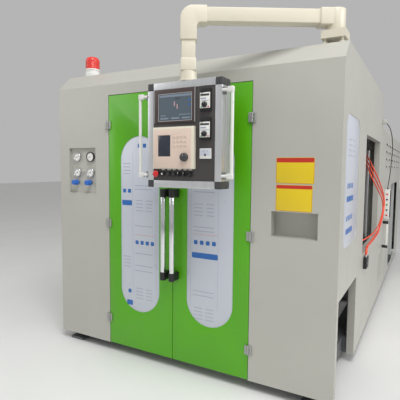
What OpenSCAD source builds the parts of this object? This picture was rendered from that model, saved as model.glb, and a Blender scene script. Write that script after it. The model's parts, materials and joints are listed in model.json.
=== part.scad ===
// Blow moulding machine with a hanging control pendant.
// The modules measure x from the left side, y from the front face and z from the floor.
// The part's origin is on the floor, at the centre of the four floor anchors.

/* [Overall] */
// Width of the machine
body_w = 2300; // [2260:10:2600]
// Length of the machine, front face to rear end
total_len = 5600; // [5560:10:6200]
// Length of the tall front section
tall_len = 2250; // [2230:10:2300]
// Height of the upright front face
front_h = 2130; // [2110:10:2200]
// Rise, and depth, of the sloped front hood
hood_rise = 120; // [80:5:150]
// Height of the roof of the rear section
rear_h = 2020; // [2010:5:2060]
// Radius of the rear section's shoulders
shoulder_r = 125; // [60:5:150]
// Gap between the floor and the panels
floor_gap = 70; // [60:1:80]
// Thickness of the sheet panels
skin_t = 3; // [2:0.5:4]
// Depth of the folded edges of the panels
fold_d = 40; // [30:1:45]

/* [Base and frame] */
// Height of the base rails
rail_h = 120; // [100:5:140]
// Width of the base rails
rail_w = 100; // [80:5:120]
// Wall of the base rails and of the frame posts
tube_t = 6; // [4:0.5:8]
// Distance from the machine's side to the foot centres
anchor_in_x = 140; // [120:5:160]
// Distance from the machine's ends to the anchor holes
anchor_in_y = 80; // [70:5:100]
// Diameter of the anchor holes
anchor_d = 22; // [18:1:26]
// Thickness of the foot plates
foot_t = 20; // [15:1:25]
// Width of the foot plates
foot_w = 130; // [110:5:150]
// Length of the foot plates
foot_len = 220; // [200:5:240]
// Diameter of the levelling screws
jack_d = 36; // [24:1:42]

/* [Front doors] */
// Width of the panel at the left of the doors
left_panel_w = 538; // [520:1:560]
// Width of the door opening
doorway_w = 1205; // [1190:1:1215]
// Height of the top of the doors above the floor
door_top = 2047; // [2030:1:2080]
// Thickness of the folded door leaves
door_t = 40; // [30:1:45]
// Gap round each door leaf
door_gap = 4; // [3:0.5:6]
// Width of the door windows
window_w = 362; // [300:1:400]
// Height of the door windows
window_h = 1350; // [1200:5:1400]
// Height of the middle of the door windows
window_z = 1050; // [1000:1:1080]
// Thickness of the window panes
pane_t = 5; // [4:0.5:8]
// Width of the rim that holds a pane behind its opening
pane_rim = 18; // [12:1:25]
// Diameter of the door handles
handle_d = 38; // [30:1:42]
// Length of the door handles
handle_len = 656; // [600:1:700]
// Height of the lower end of the door handles
handle_z = 684; // [660:1:720]
// Distance from the door face to the middle of a handle
handle_out = 70; // [60:1:78]
// Distance from the middle of the doorway to a handle
handle_in = 37; // [32:1:42]
// Height of the handle brackets
bracket_h = 58; // [45:1:65]
// Heights of the middles of the door hinges
hinge_z = [282, 1049, 1816];
// Width of a door hinge
hinge_w = 52; // [48:1:70]
// Height of a door hinge
hinge_h = 63; // [57:3:84]
// Diameter of a hinge barrel
barrel_d = 16; // [14:0.5:17]
// Diameter of a hinge pin
pin_d = 8; // [6:0.5:9]

/* [Front instruments] */
// Left edge of the gauge recess
recess_x = 107; // [100:1:115]
// Width of the gauge recess
recess_w = 293; // [285:1:300]
// Lower edge of the gauge recess
recess_z = 1276; // [1260:1:1290]
// Height of the gauge recess
recess_h = 368; // [360:1:380]
// Depth of the gauge recess
recess_d = 22; // [18:1:28]
// Diameter of the gauges
gauge_d = 80; // [70:1:84]
// Depth of the gauge cases
gauge_t = 20; // [15:1:30]
// Diameter of the regulator knobs
regulator_d = 44; // [36:1:48]
// Length of the regulator knobs
regulator_len = 50; // [40:1:60]
// Left edge of the tray pocket, from the right side
pocket_in = 419; // [415:1:425]
// Width of the tray pocket
pocket_w = 293; // [280:1:300]
// Lower edge of the tray pocket
pocket_z = 1058; // [1040:1:1080]
// Height of the tray pocket
pocket_h = 165; // [150:1:180]
// Depth of the tray pocket
pocket_d = 90; // [60:1:100]
// Diameter of the warning lamp
lamp_d = 125; // [100:1:140]
// Height of the lamp's base
lamp_base_h = 69; // [50:1:80]
// Height of the lamp's dome
lamp_dome_h = 103; // [90:1:120]

/* [Right side] */
// Width of the corner strip in front of the discharge opening
corner_w = 53; // [50:1:60]
// Distance from the front face to the seam behind the discharge opening
seam_y = 755; // [740:1:780]
// Height of the top of the discharge opening
discharge_top = 685; // [600:5:700]
// Distance from the front face to the side window's opening
side_window_y = 130.5; // [100:0.5:200]
// Length of the side window
side_window_w = 525; // [450:1:540]
// Lower edge of the side window
side_window_z = 985; // [900:5:1000]
// Height of the side window
side_window_h = 850; // [700:5:900]
// Corner radius of the side window
side_window_r = 90; // [60:1:100]
// Front edge of the hose opening
hatch_y = 1033; // [1020:1:1050]
// Length of the hose opening
hatch_w = 1052; // [1030:1:1060]
// Lower edge of the hose opening
hatch_z = 800; // [790:1:806]
// Height of the hose opening
hatch_h = 967; // [940:1:980]
// Depth of the folded edges of the hose opening
hatch_fold = 50; // [40:1:60]
// Front edge of the rear opening, from the start of the rear section
rear_door_in = 1446; // [1400:5:1500]
// Length of the rear opening
rear_door_w = 1254; // [1200:5:1300]
// Lower edge of the rear opening
rear_door_z = 130; // [120:5:150]
// Height of the rear opening
rear_door_h = 1160; // [1100:5:1200]
// Corner radius of the rear opening
rear_door_r = 110; // [80:5:140]
// Number of louvres in a row
louvre_cols = 6; // [4:1:6]
// Number of rows of louvres
louvre_rows = 4; // [2:1:4]
// Length of a louvre
louvre_len = 280; // [200:5:320]
// Height of a louvre
louvre_h = 34; // [24:1:40]
// Depth of a louvre outside the wall
louvre_d = 12; // [8:1:16]
// Spacing of the louvres along the wall
louvre_step = 434; // [400:2:440]
// Spacing of the rows of louvres
louvre_rise = 86; // [70:1:90]
// Length of the perforated vent
vent_w = 500; // [400:10:520]
// Height of the perforated vent
vent_h = 350; // [250:10:370]
// Diameter of the vent's holes
vent_hole_d = 22; // [14:1:26]
// Spacing of the vent's holes
vent_step = 38; // [34:1:50]
// Depth of the button box outside the wall
box_out = 59; // [50:1:62]
// Length of the button box along the wall
box_len = 150; // [120:1:160]
// Height of the button box
box_h = 350; // [300:5:360]
// Lower edge of the button box
box_z = 905; // [900:1:915]
// Distance from the start of the rear section to the button box
box_in = 550; // [540:1:560]
// Length of the pull bar
pull_len = 316; // [280:2:320]
// Lower end of the pull bar
pull_z = 572; // [560:1:580]
// Diameter of the pull bar
pull_d = 28; // [22:1:32]

/* [Pendant arm] */
// Distance from the right side to the arm's column
column_in = 100; // [95:1:110]
// Distance from the front face to the arm's column
column_y = 195; // [190:1:210]
// Side of the arm's base flange
flange_w = 145; // [130:1:160]
// Diameter of the arm's column
column_d = 115; // [100:1:120]
// Height of the top of the arm's tube
arm_top = 2455; // [2445:1:2480]
// Side of the arm's square tube
arm_w = 84; // [70:1:90]
// Wall of the arm's square tube
arm_t = 5; // [4:0.5:8]
// Side of the sockets at the arm's corners
socket_w = 100; // [96:1:110]
// Distance of the pendant's axis from the right side
pendant_in = 880; // [870:1:890]
// Distance of the pendant's axis in front of the front face
pendant_out = 262; // [258:1:275]
// Diameter of the arm's bearing pins
spindle_d = 60; // [40:1:66]

/* [Control pendant] */
// Width of the pendant
pendant_w = 528; // [520:1:540]
// Height of the pendant
pendant_h = 652; // [640:1:670]
// Depth of the pendant
pendant_d = 112; // [100:1:114]
// Height of the lower edge of the pendant
pendant_z = 1366; // [1350:1:1380]
// Width of the pendant's frame profile
profile_w = 45; // [44:1:50]
// Depth of the face plate behind the frame's front
face_in = 4; // [3:0.5:8]
// Width of the touch screen's bezel
hmi_w = 298; // [280:1:304]
// Height of the touch screen's bezel
hmi_h = 205; // [190:1:215]
// Width of the parison controller
pwdc_w = 290; // [280:1:300]
// Height of the parison controller
pwdc_h = 255; // [240:1:262]
// Distance by which the parison controller stands out
pwdc_out = 28; // [20:1:34]
// Diameter of the controller's knob
dial_d = 52; // [40:1:56]
// Diameter of the stop button
stop_d = 42; // [36:1:46]
// Diameter of the push buttons and selectors
button_d = 28; // [22:1:30]
// Width of a speed unit
speed_w = 73; // [66:1:76]
// Height of a speed unit
speed_h = 130; // [110:1:132]
// Diameter of a speed knob
speed_knob_d = 34; // [26:1:36]
// Diameter of the pendant's side handles
grip_d = 20; // [16:1:24]
// Distance from the pendant's side to a side handle
grip_out = 63; // [55:1:66]
// Length of the side handles
grip_len = 515; // [480:1:530]

/* [Moulding unit] */
// Thickness of the clamp's end plates
end_t = 60; // [50:1:70]
// Height and depth of the clamp's plates
platen_h = 800; // [760:10:840]
// Depth of the clamp's plates
platen_w = 760; // [740:10:800]
// Height of the middle of the clamp
clamp_z = 1060; // [1040:5:1080]
// Distance from the front face to the middle of the clamp
clamp_y = 820; // [810:5:830]
// Diameter of the tie bars
tie_d = 60; // [40:1:70]
// Spacing of the tie bars, up and down
tie_step_z = 660; // [640:5:680]
// Spacing of the tie bars, front to rear
tie_step_y = 620; // [600:5:630]
// Thickness of the platens
platen_t = 55; // [45:1:65]
// Running clearance round pins, bars and rods
run_gap = 0.05; // [0.03:0.01:0.08]
// Travel of each platen
platen_travel = 160; // [140:5:170]
// Thickness of a mould half
mould_t = 110; // [90:1:120]
// Width of the moulds
mould_w = 300; // [280:5:320]
// Height of the moulds
mould_h = 420; // [400:5:440]
// Radius of the bottle cavity
bottle_r = 70; // [60:1:75]
// Height of the bottle's straight wall
bottle_h = 190; // [160:5:200]
// Radius of the bottle's neck
neck_r = 20; // [17:1:24]
// Diameter of the blow pin
blow_d = 24; // [18:1:28]
// Travel of the blow pin
blow_travel = 120; // [80:5:130]
// Diameter of the die head
head_d = 260; // [240:5:300]
// Height of the die head
head_h = 250; // [230:5:260]
// Height of the extruder's centre line
barrel_z = 1850; // [1840:5:1855]
// Diameter of the extruder's barrel
barrel_w = 120; // [100:2:130]
// Diameter of the heater bands
heater_d = 170; // [150:2:180]
// Length of the extruder's barrel
barrel_len = 2400; // [2300:10:2420]
// Height of the top of the hopper
hopper_top = 2600; // [2550:10:2700]
// Diameter of the hopper
hopper_d = 520; // [440:10:560]
// Wall of the hopper
hopper_t = 4; // [3:0.5:6]
// Length of the oil tank
tank_w = 1000; // [900:10:1060]
// Size of the oil tank across the machine
tank_len = 740; // [700:5:780]
// Height of the oil tank
tank_h = 480; // [420:10:520]
// Distance of the oil tank from the middle of the machine
tank_in = 260; // [245:5:270]
// Thickness and overhang of the oil tank's lid
tank_lip = 10; // [8:1:12]
// Diameter of the hydraulic pump
pump_d = 150; // [130:5:180]
// Length of the hydraulic pump
pump_len = 110; // [90:5:130]
// Diameter of the pump's motor
pump_motor_d = 260; // [230:5:270]
// Length of the pump's motor
pump_motor_len = 330; // [300:10:350]
// Diameter of the accumulator
accumulator_d = 120; // [100:5:130]
// Length of the accumulator
accumulator_len = 380; // [320:10:400]
// Width, length and height of the valve block
valve_block = [240, 320, 160];

/* [Hoses and cable] */
// Diameter of the hoses
hose_d = 12; // [10:0.5:13]
// Diameter of the signal cable
cable_d = 9; // [7:0.5:10]

/* [Hidden] */
$fn = 64;

// Seams and levels
tall_h = front_h + hood_rise;
door_right = left_panel_w + doorway_w;
mid_x = left_panel_w + doorway_w / 2;
rail_top = floor_gap + rail_h;
post_w = corner_w - skin_t;
inner_right = body_w - skin_t;
seat_gap = 0.3;
proud = 1;

// Cross members of the base, from front to rear
clamp_foot = 300;
barrel_y = tall_len - 500;
throat_y = barrel_y + barrel_len - 75;
gear_y = throat_y + 275;
stand_y = tall_len + 350;
cross_w = 80;
cross_y = [
    fold_d + 60, clamp_y - clamp_foot, clamp_y, clamp_y + clamp_foot, tall_len, stand_y,
    gear_y - 500, gear_y, total_len - skin_t - cross_w / 2
];

// Pendant arm
column_x = body_w - column_in;
pendant_x = body_w - pendant_in;
reach = [pendant_x - column_x, -pendant_out - column_y];
arm_len = norm(reach);
arm_turn = atan2(reach.y, reach.x);
stud_h = 32;
flange_t = 48;
flange_top = tall_h + stud_h + flange_t;
arm_mid = arm_top - arm_w / 2;
elbow_drop = 193;
drop_len = 107;
coupling_w = 95;
coupling_h = 75;
ring_d = 105;
ring_h = 62;
pendant_top = pendant_z + pendant_h;
ring_top = pendant_top + ring_h;

// Control pendant, measured from its turning axis, its left edge and its top
pendant_fore = 60;
plate_t = 4;
corner_r = 24;
face_y = -pendant_fore + face_in;
hmi_at = [53, 46];
pwdc_at = [56, 279];
dial_at = [292, 463];
row_z = 566;
stop_x = 71;
button_x = [118, 161, 201];
selector_x = [240, 279];
lamp_x = 315;
speed_x = 385;
speed_z = [60, 230];
collar_h = 7;
spindle_r = 4;

// Moulding unit, measured from the middle of the clamp along x
half_gap = 0.15;
mould_face = platen_travel + half_gap;
platen_face = mould_face + mould_t;
platen_back = platen_face + platen_t;
end_face = platen_back + 25;
end_back = end_face + end_t;
rod_d = 50;
cylinder_d = 140;
cylinder_len = 260;
mould_top = clamp_z + mould_h / 2;
mould_foot = clamp_z - mould_h / 2;
blow_top = mould_foot - 30;
blow_base_top = blow_top - 180;
feed_w = 240;
lid_y = throat_y + hopper_d / 2 + 12;

// Routes of the hoses and the cable, as distance outside the right side, y and z
hose_1_route = [
    [-110, 1900, 1640], [-110, 1878, 1640], [-107, 1840, 1635], [-90, 1784, 1621], [-71, 1729, 1604],
    [-52, 1677, 1581],
    [-33, 1625, 1557], [-9, 1591, 1514], [17, 1593, 1461], [34, 1630, 1418], [42, 1680, 1386],
    [51, 1727, 1348], [59, 1775, 1312], [66, 1821, 1275], [73, 1863, 1231], [78, 1883, 1176],
    [78, 1864, 1119], [75, 1828, 1071], [72, 1787, 1027], [68, 1743, 986], [63, 1696, 947],
    [59, 1646, 914], [53, 1590, 893], [47, 1531, 880], [40, 1472, 868], [33, 1413, 857],
    [26, 1356, 848], [20, 1312, 840], [16, 1274, 837], [15, 1243, 829], [14, 1220, 806],
    [14, 1212, 790], [14, 1212, 775]
];
hose_2_route = [
    [-110, 1900, 1600], [-110, 1878, 1600], [-107, 1840, 1595], [-91, 1784, 1582], [-73, 1728, 1565],
    [-56, 1675, 1543],
    [-40, 1621, 1521], [-18, 1581, 1482], [8, 1575, 1429], [28, 1605, 1383], [38, 1656, 1351],
    [48, 1704, 1315], [58, 1752, 1281], [67, 1800, 1245], [75, 1841, 1202], [80, 1850, 1143],
    [79, 1822, 1090], [76, 1780, 1048], [72, 1733, 1009], [67, 1685, 974], [63, 1633, 943],
    [57, 1577, 923], [51, 1518, 910], [45, 1459, 897], [39, 1400, 887], [34, 1342, 877],
    [29, 1294, 867], [23, 1250, 858], [18, 1214, 852], [15, 1183, 844], [14, 1160, 821],
    [14, 1152, 798], [14, 1152, 775]
];
hose_3_route = [
    [-110, 1900, 1560], [-110, 1878, 1560], [-107, 1840, 1555], [-92, 1783, 1542], [-75, 1727, 1526],
    [-59, 1673, 1505],
    [-45, 1618, 1484], [-27, 1571, 1452], [-2, 1554, 1401], [21, 1574, 1351], [34, 1622, 1317],
    [44, 1672, 1284], [54, 1721, 1251], [62, 1771, 1218], [69, 1809, 1173], [73, 1809, 1113],
    [72, 1773, 1066], [68, 1724, 1031], [64, 1673, 1000], [58, 1619, 973], [51, 1562, 954],
    [44, 1504, 939], [35, 1446, 926], [25, 1387, 915], [13, 1329, 907], [0, 1270, 900],
    [-14, 1216, 894], [-26, 1170, 889], [-31, 1132, 887], [-33, 1101, 879], [-34, 1078, 856],
    [-34, 1070, 840], [-34, 1070, 825]
];
cable_route = [
    [22, 2240, 1985], [22, 2262, 1985], [24, 2299, 1984], [30, 2357, 1977], [36, 2415, 1969],
    [42, 2473, 1960],
    [47, 2530, 1947], [50, 2587, 1932], [52, 2644, 1915], [54, 2698, 1894], [57, 2748, 1863],
    [59, 2789, 1821], [61, 2817, 1769], [62, 2828, 1712], [60, 2817, 1654], [58, 2800, 1598],
    [57, 2784, 1541], [55, 2766, 1485], [51, 2763, 1427], [44, 2783, 1372], [35, 2820, 1327],
    [30, 2840, 1295], [30, 2840, 1275]
];

// Moves a piece from the machine's corner to the part's origin
module placed() {
    translate([-body_w / 2, -total_len / 2, 0]) children();
}

// Block between two opposite corners
module block(from, to) {
    translate(from) cube(to - from);
}

// Bar of a section drawn in y and z
module along_x(start, length) {
    translate([start, 0, 0]) rotate([90, 0, 90]) linear_extrude(length) children();
}

// Bar of a section drawn in x and z
module along_y(start, length) {
    translate([0, start + length, 0]) rotate([90, 0, 0]) linear_extrude(length) children();
}

// Round bar that runs to the right from a point
module rod_x(at, d, length) {
    translate(at) rotate([0, 90, 0]) cylinder(d = d, h = length);
}

// Round bar that runs to the rear from a point
module rod_y(at, d, length) {
    translate(at) rotate([-90, 0, 0]) cylinder(d = d, h = length);
}

// Rectangle with round corners
module round_rect(size, r) {
    translate(size / 2) hull()
        for (a = [-1, 1], b = [-1, 1])
            translate([a * (size.x / 2 - r), b * (size.y / 2 - r)]) circle(r, $fn = 48);
}

// Points of an arc
function arc(centre, r, a, b, n = 10) = [for (i = [0:n])
    centre + r * [cos(a + (b - a) * i / n), sin(a + (b - a) * i / n)]];

// Point between b and c on a smooth curve through four points
function curve_point(a, b, c, d, t) = (2 * b + (c - a) * t + (2 * a - 5 * b + 4 * c - d) * t * t
    + (3 * b - a - 3 * c + d) * t * t * t) / 2;

// Smooth route through the points, with two steps between each pair
function smooth(p) = let (last = len(p) - 1) concat([for (i = [0:last - 1], t = [0, 0.5])
    curve_point(p[max(i - 1, 0)], p[i], p[i + 1], p[min(i + 2, last)], t)], [p[last]]);

function unit(v) = v / norm(v);

// Direction of a smooth route at one of its points; its ends run along the first and last steps
function heading(p, i, route) = let (last = len(p) - 1, n = len(route) - 1)
    i == 0 ? unit(route[1] - route[0])
    : i == last ? unit(route[n] - route[n - 1])
    : unit(p[i + 1] - p[i - 1]);

// Ring of points round a route at one of its points
function ring(at, t, r, n) = let (u = unit(cross([1, 0, 0], t)), v = cross(t, u))
    [for (k = [0:n - 1]) at + r * (cos(360 * k / n) * u + sin(360 * k / n) * v)];

// Tube along a route outside the right side
module tube(route, d, n = 8) {
    path = smooth(route);
    last = len(path) - 1;
    points = [for (i = [0:last]) each ring(path[i], heading(path, i, route), d / 2, n)];
    walls = [for (i = [0:last - 1], k = [0:n - 1])
        [i * n + k, i * n + (k + 1) % n, (i + 1) * n + (k + 1) % n, (i + 1) * n + k]];
    ends = [[for (k = [n - 1:-1:0]) k], [for (k = [0:n - 1]) last * n + k]];
    translate([body_w, 0, 0]) polyhedron(points, concat(walls, ends), convexity = 6);
}

// Hollow rails, cross members, levelling feet and anchor plates
module base_frame() color("dimgray") placed() {
    for (x = [anchor_in_x, body_w - anchor_in_x]) {
        difference() {
            block([x - rail_w / 2, fold_d + 10, floor_gap],
                [x + rail_w / 2, total_len - skin_t - 10, rail_top]);
            block([x - rail_w / 2 + tube_t, fold_d, floor_gap + tube_t],
                [x + rail_w / 2 - tube_t, total_len, rail_top - tube_t]);
        }
        for (y = [anchor_in_y, total_len - anchor_in_y])
            foot(x, y, y < total_len / 2 ? 1 : -1, anchor_d);
        for (y = [total_len / 3, total_len * 2 / 3]) foot(x, y, 1, 0);
    }
    // The cross members behind the discharge opening reach out to the side walls
    for (y = cross_y, out = y > seam_y ? skin_t : anchor_in_x)
        block([out, y - cross_w / 2, floor_gap], [body_w - out, y + cross_w / 2, rail_top]);
    for (x = [[skin_t, left_panel_w - skin_t], [door_right + skin_t, inner_right]])
        block([x[0], skin_t, floor_gap], [x[1], skin_t + post_w, rail_top]);
}

// Foot plate with its anchor hole, levelling screw and lock nut
module foot(x, y, side, hole_d) {
    jack_y = y + side * foot_len / 2;
    difference() {
        translate([x - foot_w / 2, jack_y - foot_len / 2 - side * foot_len / 4, 0])
            cube([foot_w, foot_len, foot_t]);
        if (hole_d > 0) translate([x, y, -proud]) cylinder(d = hole_d, h = foot_t + 2 * proud);
    }
    translate([x, jack_y, foot_t]) cylinder(d = jack_d, h = floor_gap - foot_t);
    translate([x, jack_y, floor_gap - jack_d / 2]) cylinder(d = jack_d * 1.7, h = jack_d / 2, $fn = 6);
}

// Posts and rails that carry the panels
module cabinet_frame() color("gainsboro") placed() {
    lintel = door_top + 5;
    top = tall_h - skin_t;
    rear_post = total_len - skin_t - post_w;
    side_rail = rear_h - shoulder_r - post_w;
    for (x = [skin_t, inner_right - post_w]) {
        post(x, skin_t, lintel + post_w);
        post(x, tall_len - skin_t - post_w, top);
        post(x, tall_len + skin_t, side_rail);
        post(x, rear_post, side_rail);
        post(x, gear_y, side_rail);
        block([x, tall_len + skin_t, side_rail], [x + post_w, total_len - skin_t, side_rail + post_w]);
        block([x, skin_t + post_w, lintel], [x + post_w, hood_rise + post_w, lintel + post_w]);
        block([x, hood_rise, lintel + post_w], [x + post_w, hood_rise + post_w, top - post_w]);
        block([x, hood_rise, top - post_w], [x + post_w, tall_len - skin_t - post_w, top]);
    }
    post(inner_right - post_w, seam_y + skin_t, top - post_w);
    for (x = [left_panel_w - skin_t - post_w, door_right + skin_t]) post(x, skin_t, lintel);
    block([skin_t, skin_t, lintel], [inner_right, skin_t + post_w, lintel + post_w]);
    for (y = [hood_rise, clamp_y - post_w / 2, tall_len - skin_t - post_w])
        block([skin_t, y, top - post_w], [inner_right, y + post_w, top]);
}

// Upright square post that stands on the base
module post(x, y, top) {
    block([x, y, rail_top], [x + post_w, y + post_w, top]);
}

// Sheet between two heights with a return along the doorway and the bottom
module front_sheet(from_x, to_x, jamb_x) {
    block([from_x, 0, floor_gap], [to_x, skin_t, door_top]);
    block([jamb_x, 0, floor_gap], [jamb_x + skin_t, fold_d, door_top]);
}

// Pressed tray behind an opening in a front sheet
module tray(x, z, w, h, depth) {
    difference() {
        block([x - skin_t, 0, z - skin_t], [x + w + skin_t, depth + skin_t, z + h + skin_t]);
        block([x, -proud, z], [x + w, depth, z + h]);
    }
}

// Left front panel with the recess for the gauges
module front_left_panel() color("ivory") placed() {
    difference() {
        front_sheet(skin_t, left_panel_w, left_panel_w - skin_t);
        block([recess_x, -proud, recess_z], [recess_x + recess_w, 2 * skin_t, recess_z + recess_h]);
    }
    tray(recess_x, recess_z, recess_w, recess_h, recess_d);
}

// Right front panel with the open tray pocket
module front_right_panel() color("ivory") placed() {
    x = body_w - pocket_in;
    difference() {
        front_sheet(door_right, inner_right, door_right);
        block([x, -proud, pocket_z], [x + pocket_w, 2 * skin_t, pocket_z + pocket_h]);
    }
    tray(x, pocket_z, pocket_w, pocket_h, pocket_d);
}

// Folded sheet above the doors, with the sloped upper part
module front_hood() color("ivory") placed() {
    slope = skin_t * tan(22.5);
    along_x(skin_t, body_w - 2 * skin_t) polygon([
        [0, door_top], [0, front_h], [hood_rise, tall_h], [hood_rise, tall_h - skin_t * sqrt(2)],
        [skin_t, front_h - slope], [skin_t, door_top]
    ]);
}

// Roof of the tall section
module roof_panel() color("ivory") placed() {
    block([skin_t, hood_rise, tall_h - skin_t], [inner_right, tall_len, tall_h]);
}

// Outline of the tall section's side, between two distances from the front
module side_outline(rear) {
    polygon([[0, floor_gap], [rear, floor_gap], [rear, tall_h], [hood_rise, tall_h], [0, front_h]]);
}

// Left wall of the tall section
module left_wall() color("ivory") placed() {
    along_x(0, skin_t) side_outline(tall_len);
}

// Right wall beside the doors, above and in front of the discharge opening
module right_front_wall() color("ivory") placed() {
    opening_y = corner_w + skin_t;
    fold_x = inner_right - hatch_fold;
    along_x(inner_right, skin_t) difference() {
        side_outline(seam_y);
        translate([opening_y, floor_gap - proud]) square([seam_y, discharge_top - floor_gap + proud]);
        translate([side_window_y, side_window_z]) round_rect([side_window_w, side_window_h], side_window_r);
    }
    block([fold_x, corner_w, discharge_top], [inner_right, seam_y, discharge_top + skin_t]);
    block([fold_x, corner_w, floor_gap], [inner_right, opening_y, discharge_top + skin_t]);
}

// Pane behind the side window's opening
module side_window() color("azure") placed() {
    along_x(inner_right - pane_t, pane_t) translate([side_window_y - pane_rim, side_window_z - pane_rim])
        round_rect([side_window_w + 2 * pane_rim, side_window_h + 2 * pane_rim], side_window_r);
}

// Right wall with the large opening for the hoses and its folded edges
module right_middle_wall() color("ivory") placed() {
    from = [hatch_y, hatch_z];
    size = [hatch_w, hatch_h];
    fold = [skin_t, skin_t];
    along_x(inner_right, skin_t) difference() {
        translate([seam_y, floor_gap]) square([tall_len - seam_y, tall_h - floor_gap]);
        translate(from) square(size);
    }
    along_x(inner_right - hatch_fold, hatch_fold) difference() {
        translate(from - fold) square(size + 2 * fold);
        translate(from) square(size);
    }
    block([inner_right - hatch_fold, seam_y, floor_gap], [inner_right, seam_y + skin_t, discharge_top]);
}

// Wall between the tall and the rear sections, with the hole for the barrel
module bulkhead() color("ivory") placed() {
    difference() {
        block([skin_t, tall_len - skin_t, rail_top], [inner_right, tall_len, tall_h - skin_t]);
        rod_y([mid_x, tall_len - 2 * skin_t, barrel_z], heater_d + 60, 4 * skin_t);
    }
}

// Section of the rear cover, smaller than the outside by a distance
module cover_section(inset) {
    r = shoulder_r - inset;
    polygon(concat(
        [[inset, floor_gap - (inset > 0 ? proud : 0)]],
        arc([shoulder_r, rear_h - shoulder_r], r, 180, 90),
        arc([body_w - shoulder_r, rear_h - shoulder_r], r, 90, 0),
        [[body_w - inset, floor_gap - (inset > 0 ? proud : 0)]]
    ));
}

// Distances along and up the right side at which the louvre panel starts, and its size
louvre_y = tall_len + 530;
louvre_z = 1492;
louvre_panel_w = (louvre_cols - 1) * louvre_step + louvre_len + 60;
louvre_panel_h = (louvre_rows - 1) * louvre_rise + louvre_h + 50;
vent_y = tall_len + 70;
vent_z = 220;

// Round-shouldered cover of the rear section, open below
module rear_cover() color("ivory") placed() {
    difference() {
        union() {
            along_y(tall_len, total_len - tall_len - skin_t) difference() {
                cover_section(0);
                cover_section(skin_t);
            }
            along_y(total_len - skin_t, skin_t) cover_section(0);
        }
        along_x(inner_right - proud, skin_t + 2 * proud) {
            translate([tall_len + rear_door_in, rear_door_z])
                round_rect([rear_door_w, rear_door_h], rear_door_r);
            translate([louvre_y, louvre_z]) square([louvre_panel_w, louvre_panel_h]);
            translate([vent_y, vent_z]) square([vent_w, vent_h]);
        }
        translate([mid_x, throat_y, rear_h - 2 * skin_t]) cylinder(d = feed_w - 80, h = 4 * skin_t);
    }
}

// Sheet with rows of pressed louvres, open at their lower edges
module louvre_panel() color("ivory") placed() {
    first = [louvre_y + 30, louvre_z + 25];
    difference() {
        union() {
            block([inner_right, louvre_y, louvre_z],
                [body_w, louvre_y + louvre_panel_w, louvre_z + louvre_panel_h]);
            louvres(first) louvre(0);
        }
        louvres(first) louvre(skin_t / 2);
    }
}

// Places a louvre at each step of the rows
module louvres(first) {
    for (i = [0:louvre_cols - 1], j = [0:louvre_rows - 1])
        translate([body_w, first.x + i * louvre_step, first.y + j * louvre_rise]) children();
}

// Hood of a louvre, or the hollow inside it where it is smaller by a wall
module louvre(wall) {
    back = wall > 0 ? skin_t + proud : 0;
    translate([0, wall, 0]) rotate([90, 0, 0]) mirror([0, 0, 1]) linear_extrude(louvre_len - 2 * wall)
        polygon([
            [-back, 0], [louvre_d - wall, 0], [louvre_d - wall, louvre_h / 4],
            [0, louvre_h - 2 * wall], [-back, wall > 0 ? louvre_h / 2 : louvre_h]
        ]);
}

// Perforated sheet of the lower vent
module vent_grille() color("gainsboro") placed() {
    cols = floor((vent_w - 30) / vent_step);
    rows = floor((vent_h - 30) / vent_step);
    along_x(inner_right, skin_t) translate([vent_y, vent_z]) difference() {
        square([vent_w, vent_h]);
        for (i = [0:cols - 1], j = [0:rows - 1])
            translate([vent_w, vent_h] / 2 + [i - (cols - 1) / 2, j - (rows - 1) / 2] * vent_step)
                circle(d = vent_hole_d);
    }
}

// Hollow folded leaf with a window opening, handle side to the right
module door_leaf() {
    w = doorway_w / 2 - 1.5 * door_gap;
    h = door_top - floor_gap - 2 * door_gap;
    translate([door_gap, 0, floor_gap + door_gap]) {
        difference() {
            cube([w, door_t, h]);
            translate([skin_t, skin_t, skin_t]) cube([w - 2 * skin_t, door_t, h - 2 * skin_t]);
            translate([w / 2, -proud, window_z - floor_gap - door_gap]) rotate([-90, 0, 0])
                linear_extrude(skin_t + 2 * proud) obround(window_w, window_h);
        }
        // Stiffening channels above and below the window
        for (z = [h / 2 - window_h / 2 - 110, h / 2 + window_h / 2 + 60])
            translate([skin_t, skin_t, z]) cube([w - 2 * skin_t, door_t / 2, 50]);
    }
}

// Upright shape with round ends
module obround(w, h) {
    hull() for (a = [-1, 1]) translate([0, a * (h - w) / 2]) circle(d = w);
}

// Pane behind the window of a door leaf
module door_pane() {
    w = doorway_w / 2 - 1.5 * door_gap;
    translate([door_gap + w / 2, skin_t, window_z]) rotate([-90, 0, 0])
        linear_extrude(pane_t) obround(window_w + 2 * pane_rim, window_h + 2 * pane_rim);
}

// Tubular handle on its two brackets, on the side of the meeting edges
module door_handle() {
    x = doorway_w / 2 - handle_in;
    translate([x, -handle_out, handle_z + bracket_h / 2]) cylinder(d = handle_d, h = handle_len - bracket_h);
    for (z = [handle_z, handle_z + handle_len - bracket_h]) translate([x, 0, z]) {
        translate([0, -handle_out, 0]) cylinder(d = handle_d + 8, h = bracket_h);
        translate([-handle_d / 2, -handle_out, 0]) cube([handle_d, handle_out, bracket_h]);
    }
}

// Moving half of a hinge: plate and middle knuckle
module moving_leaf() {
    third = hinge_h / 3;
    difference() {
        union() {
            translate([barrel_d / 2 + 1, 0, 0]) cube([hinge_w / 2 - barrel_d / 2 - 1, hinge_y, hinge_h]);
            translate([0, hinge_y - barrel_d / 2, third + door_gap / 8])
                cube([hinge_w / 2, barrel_d / 2, third - door_gap / 4]);
            translate([0, 0, third + door_gap / 8]) cylinder(d = barrel_d, h = third - door_gap / 4);
        }
        translate([0, 0, -proud]) cylinder(d = pin_d + 2 * run_gap, h = hinge_h + 2 * proud);
    }
}

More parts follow.
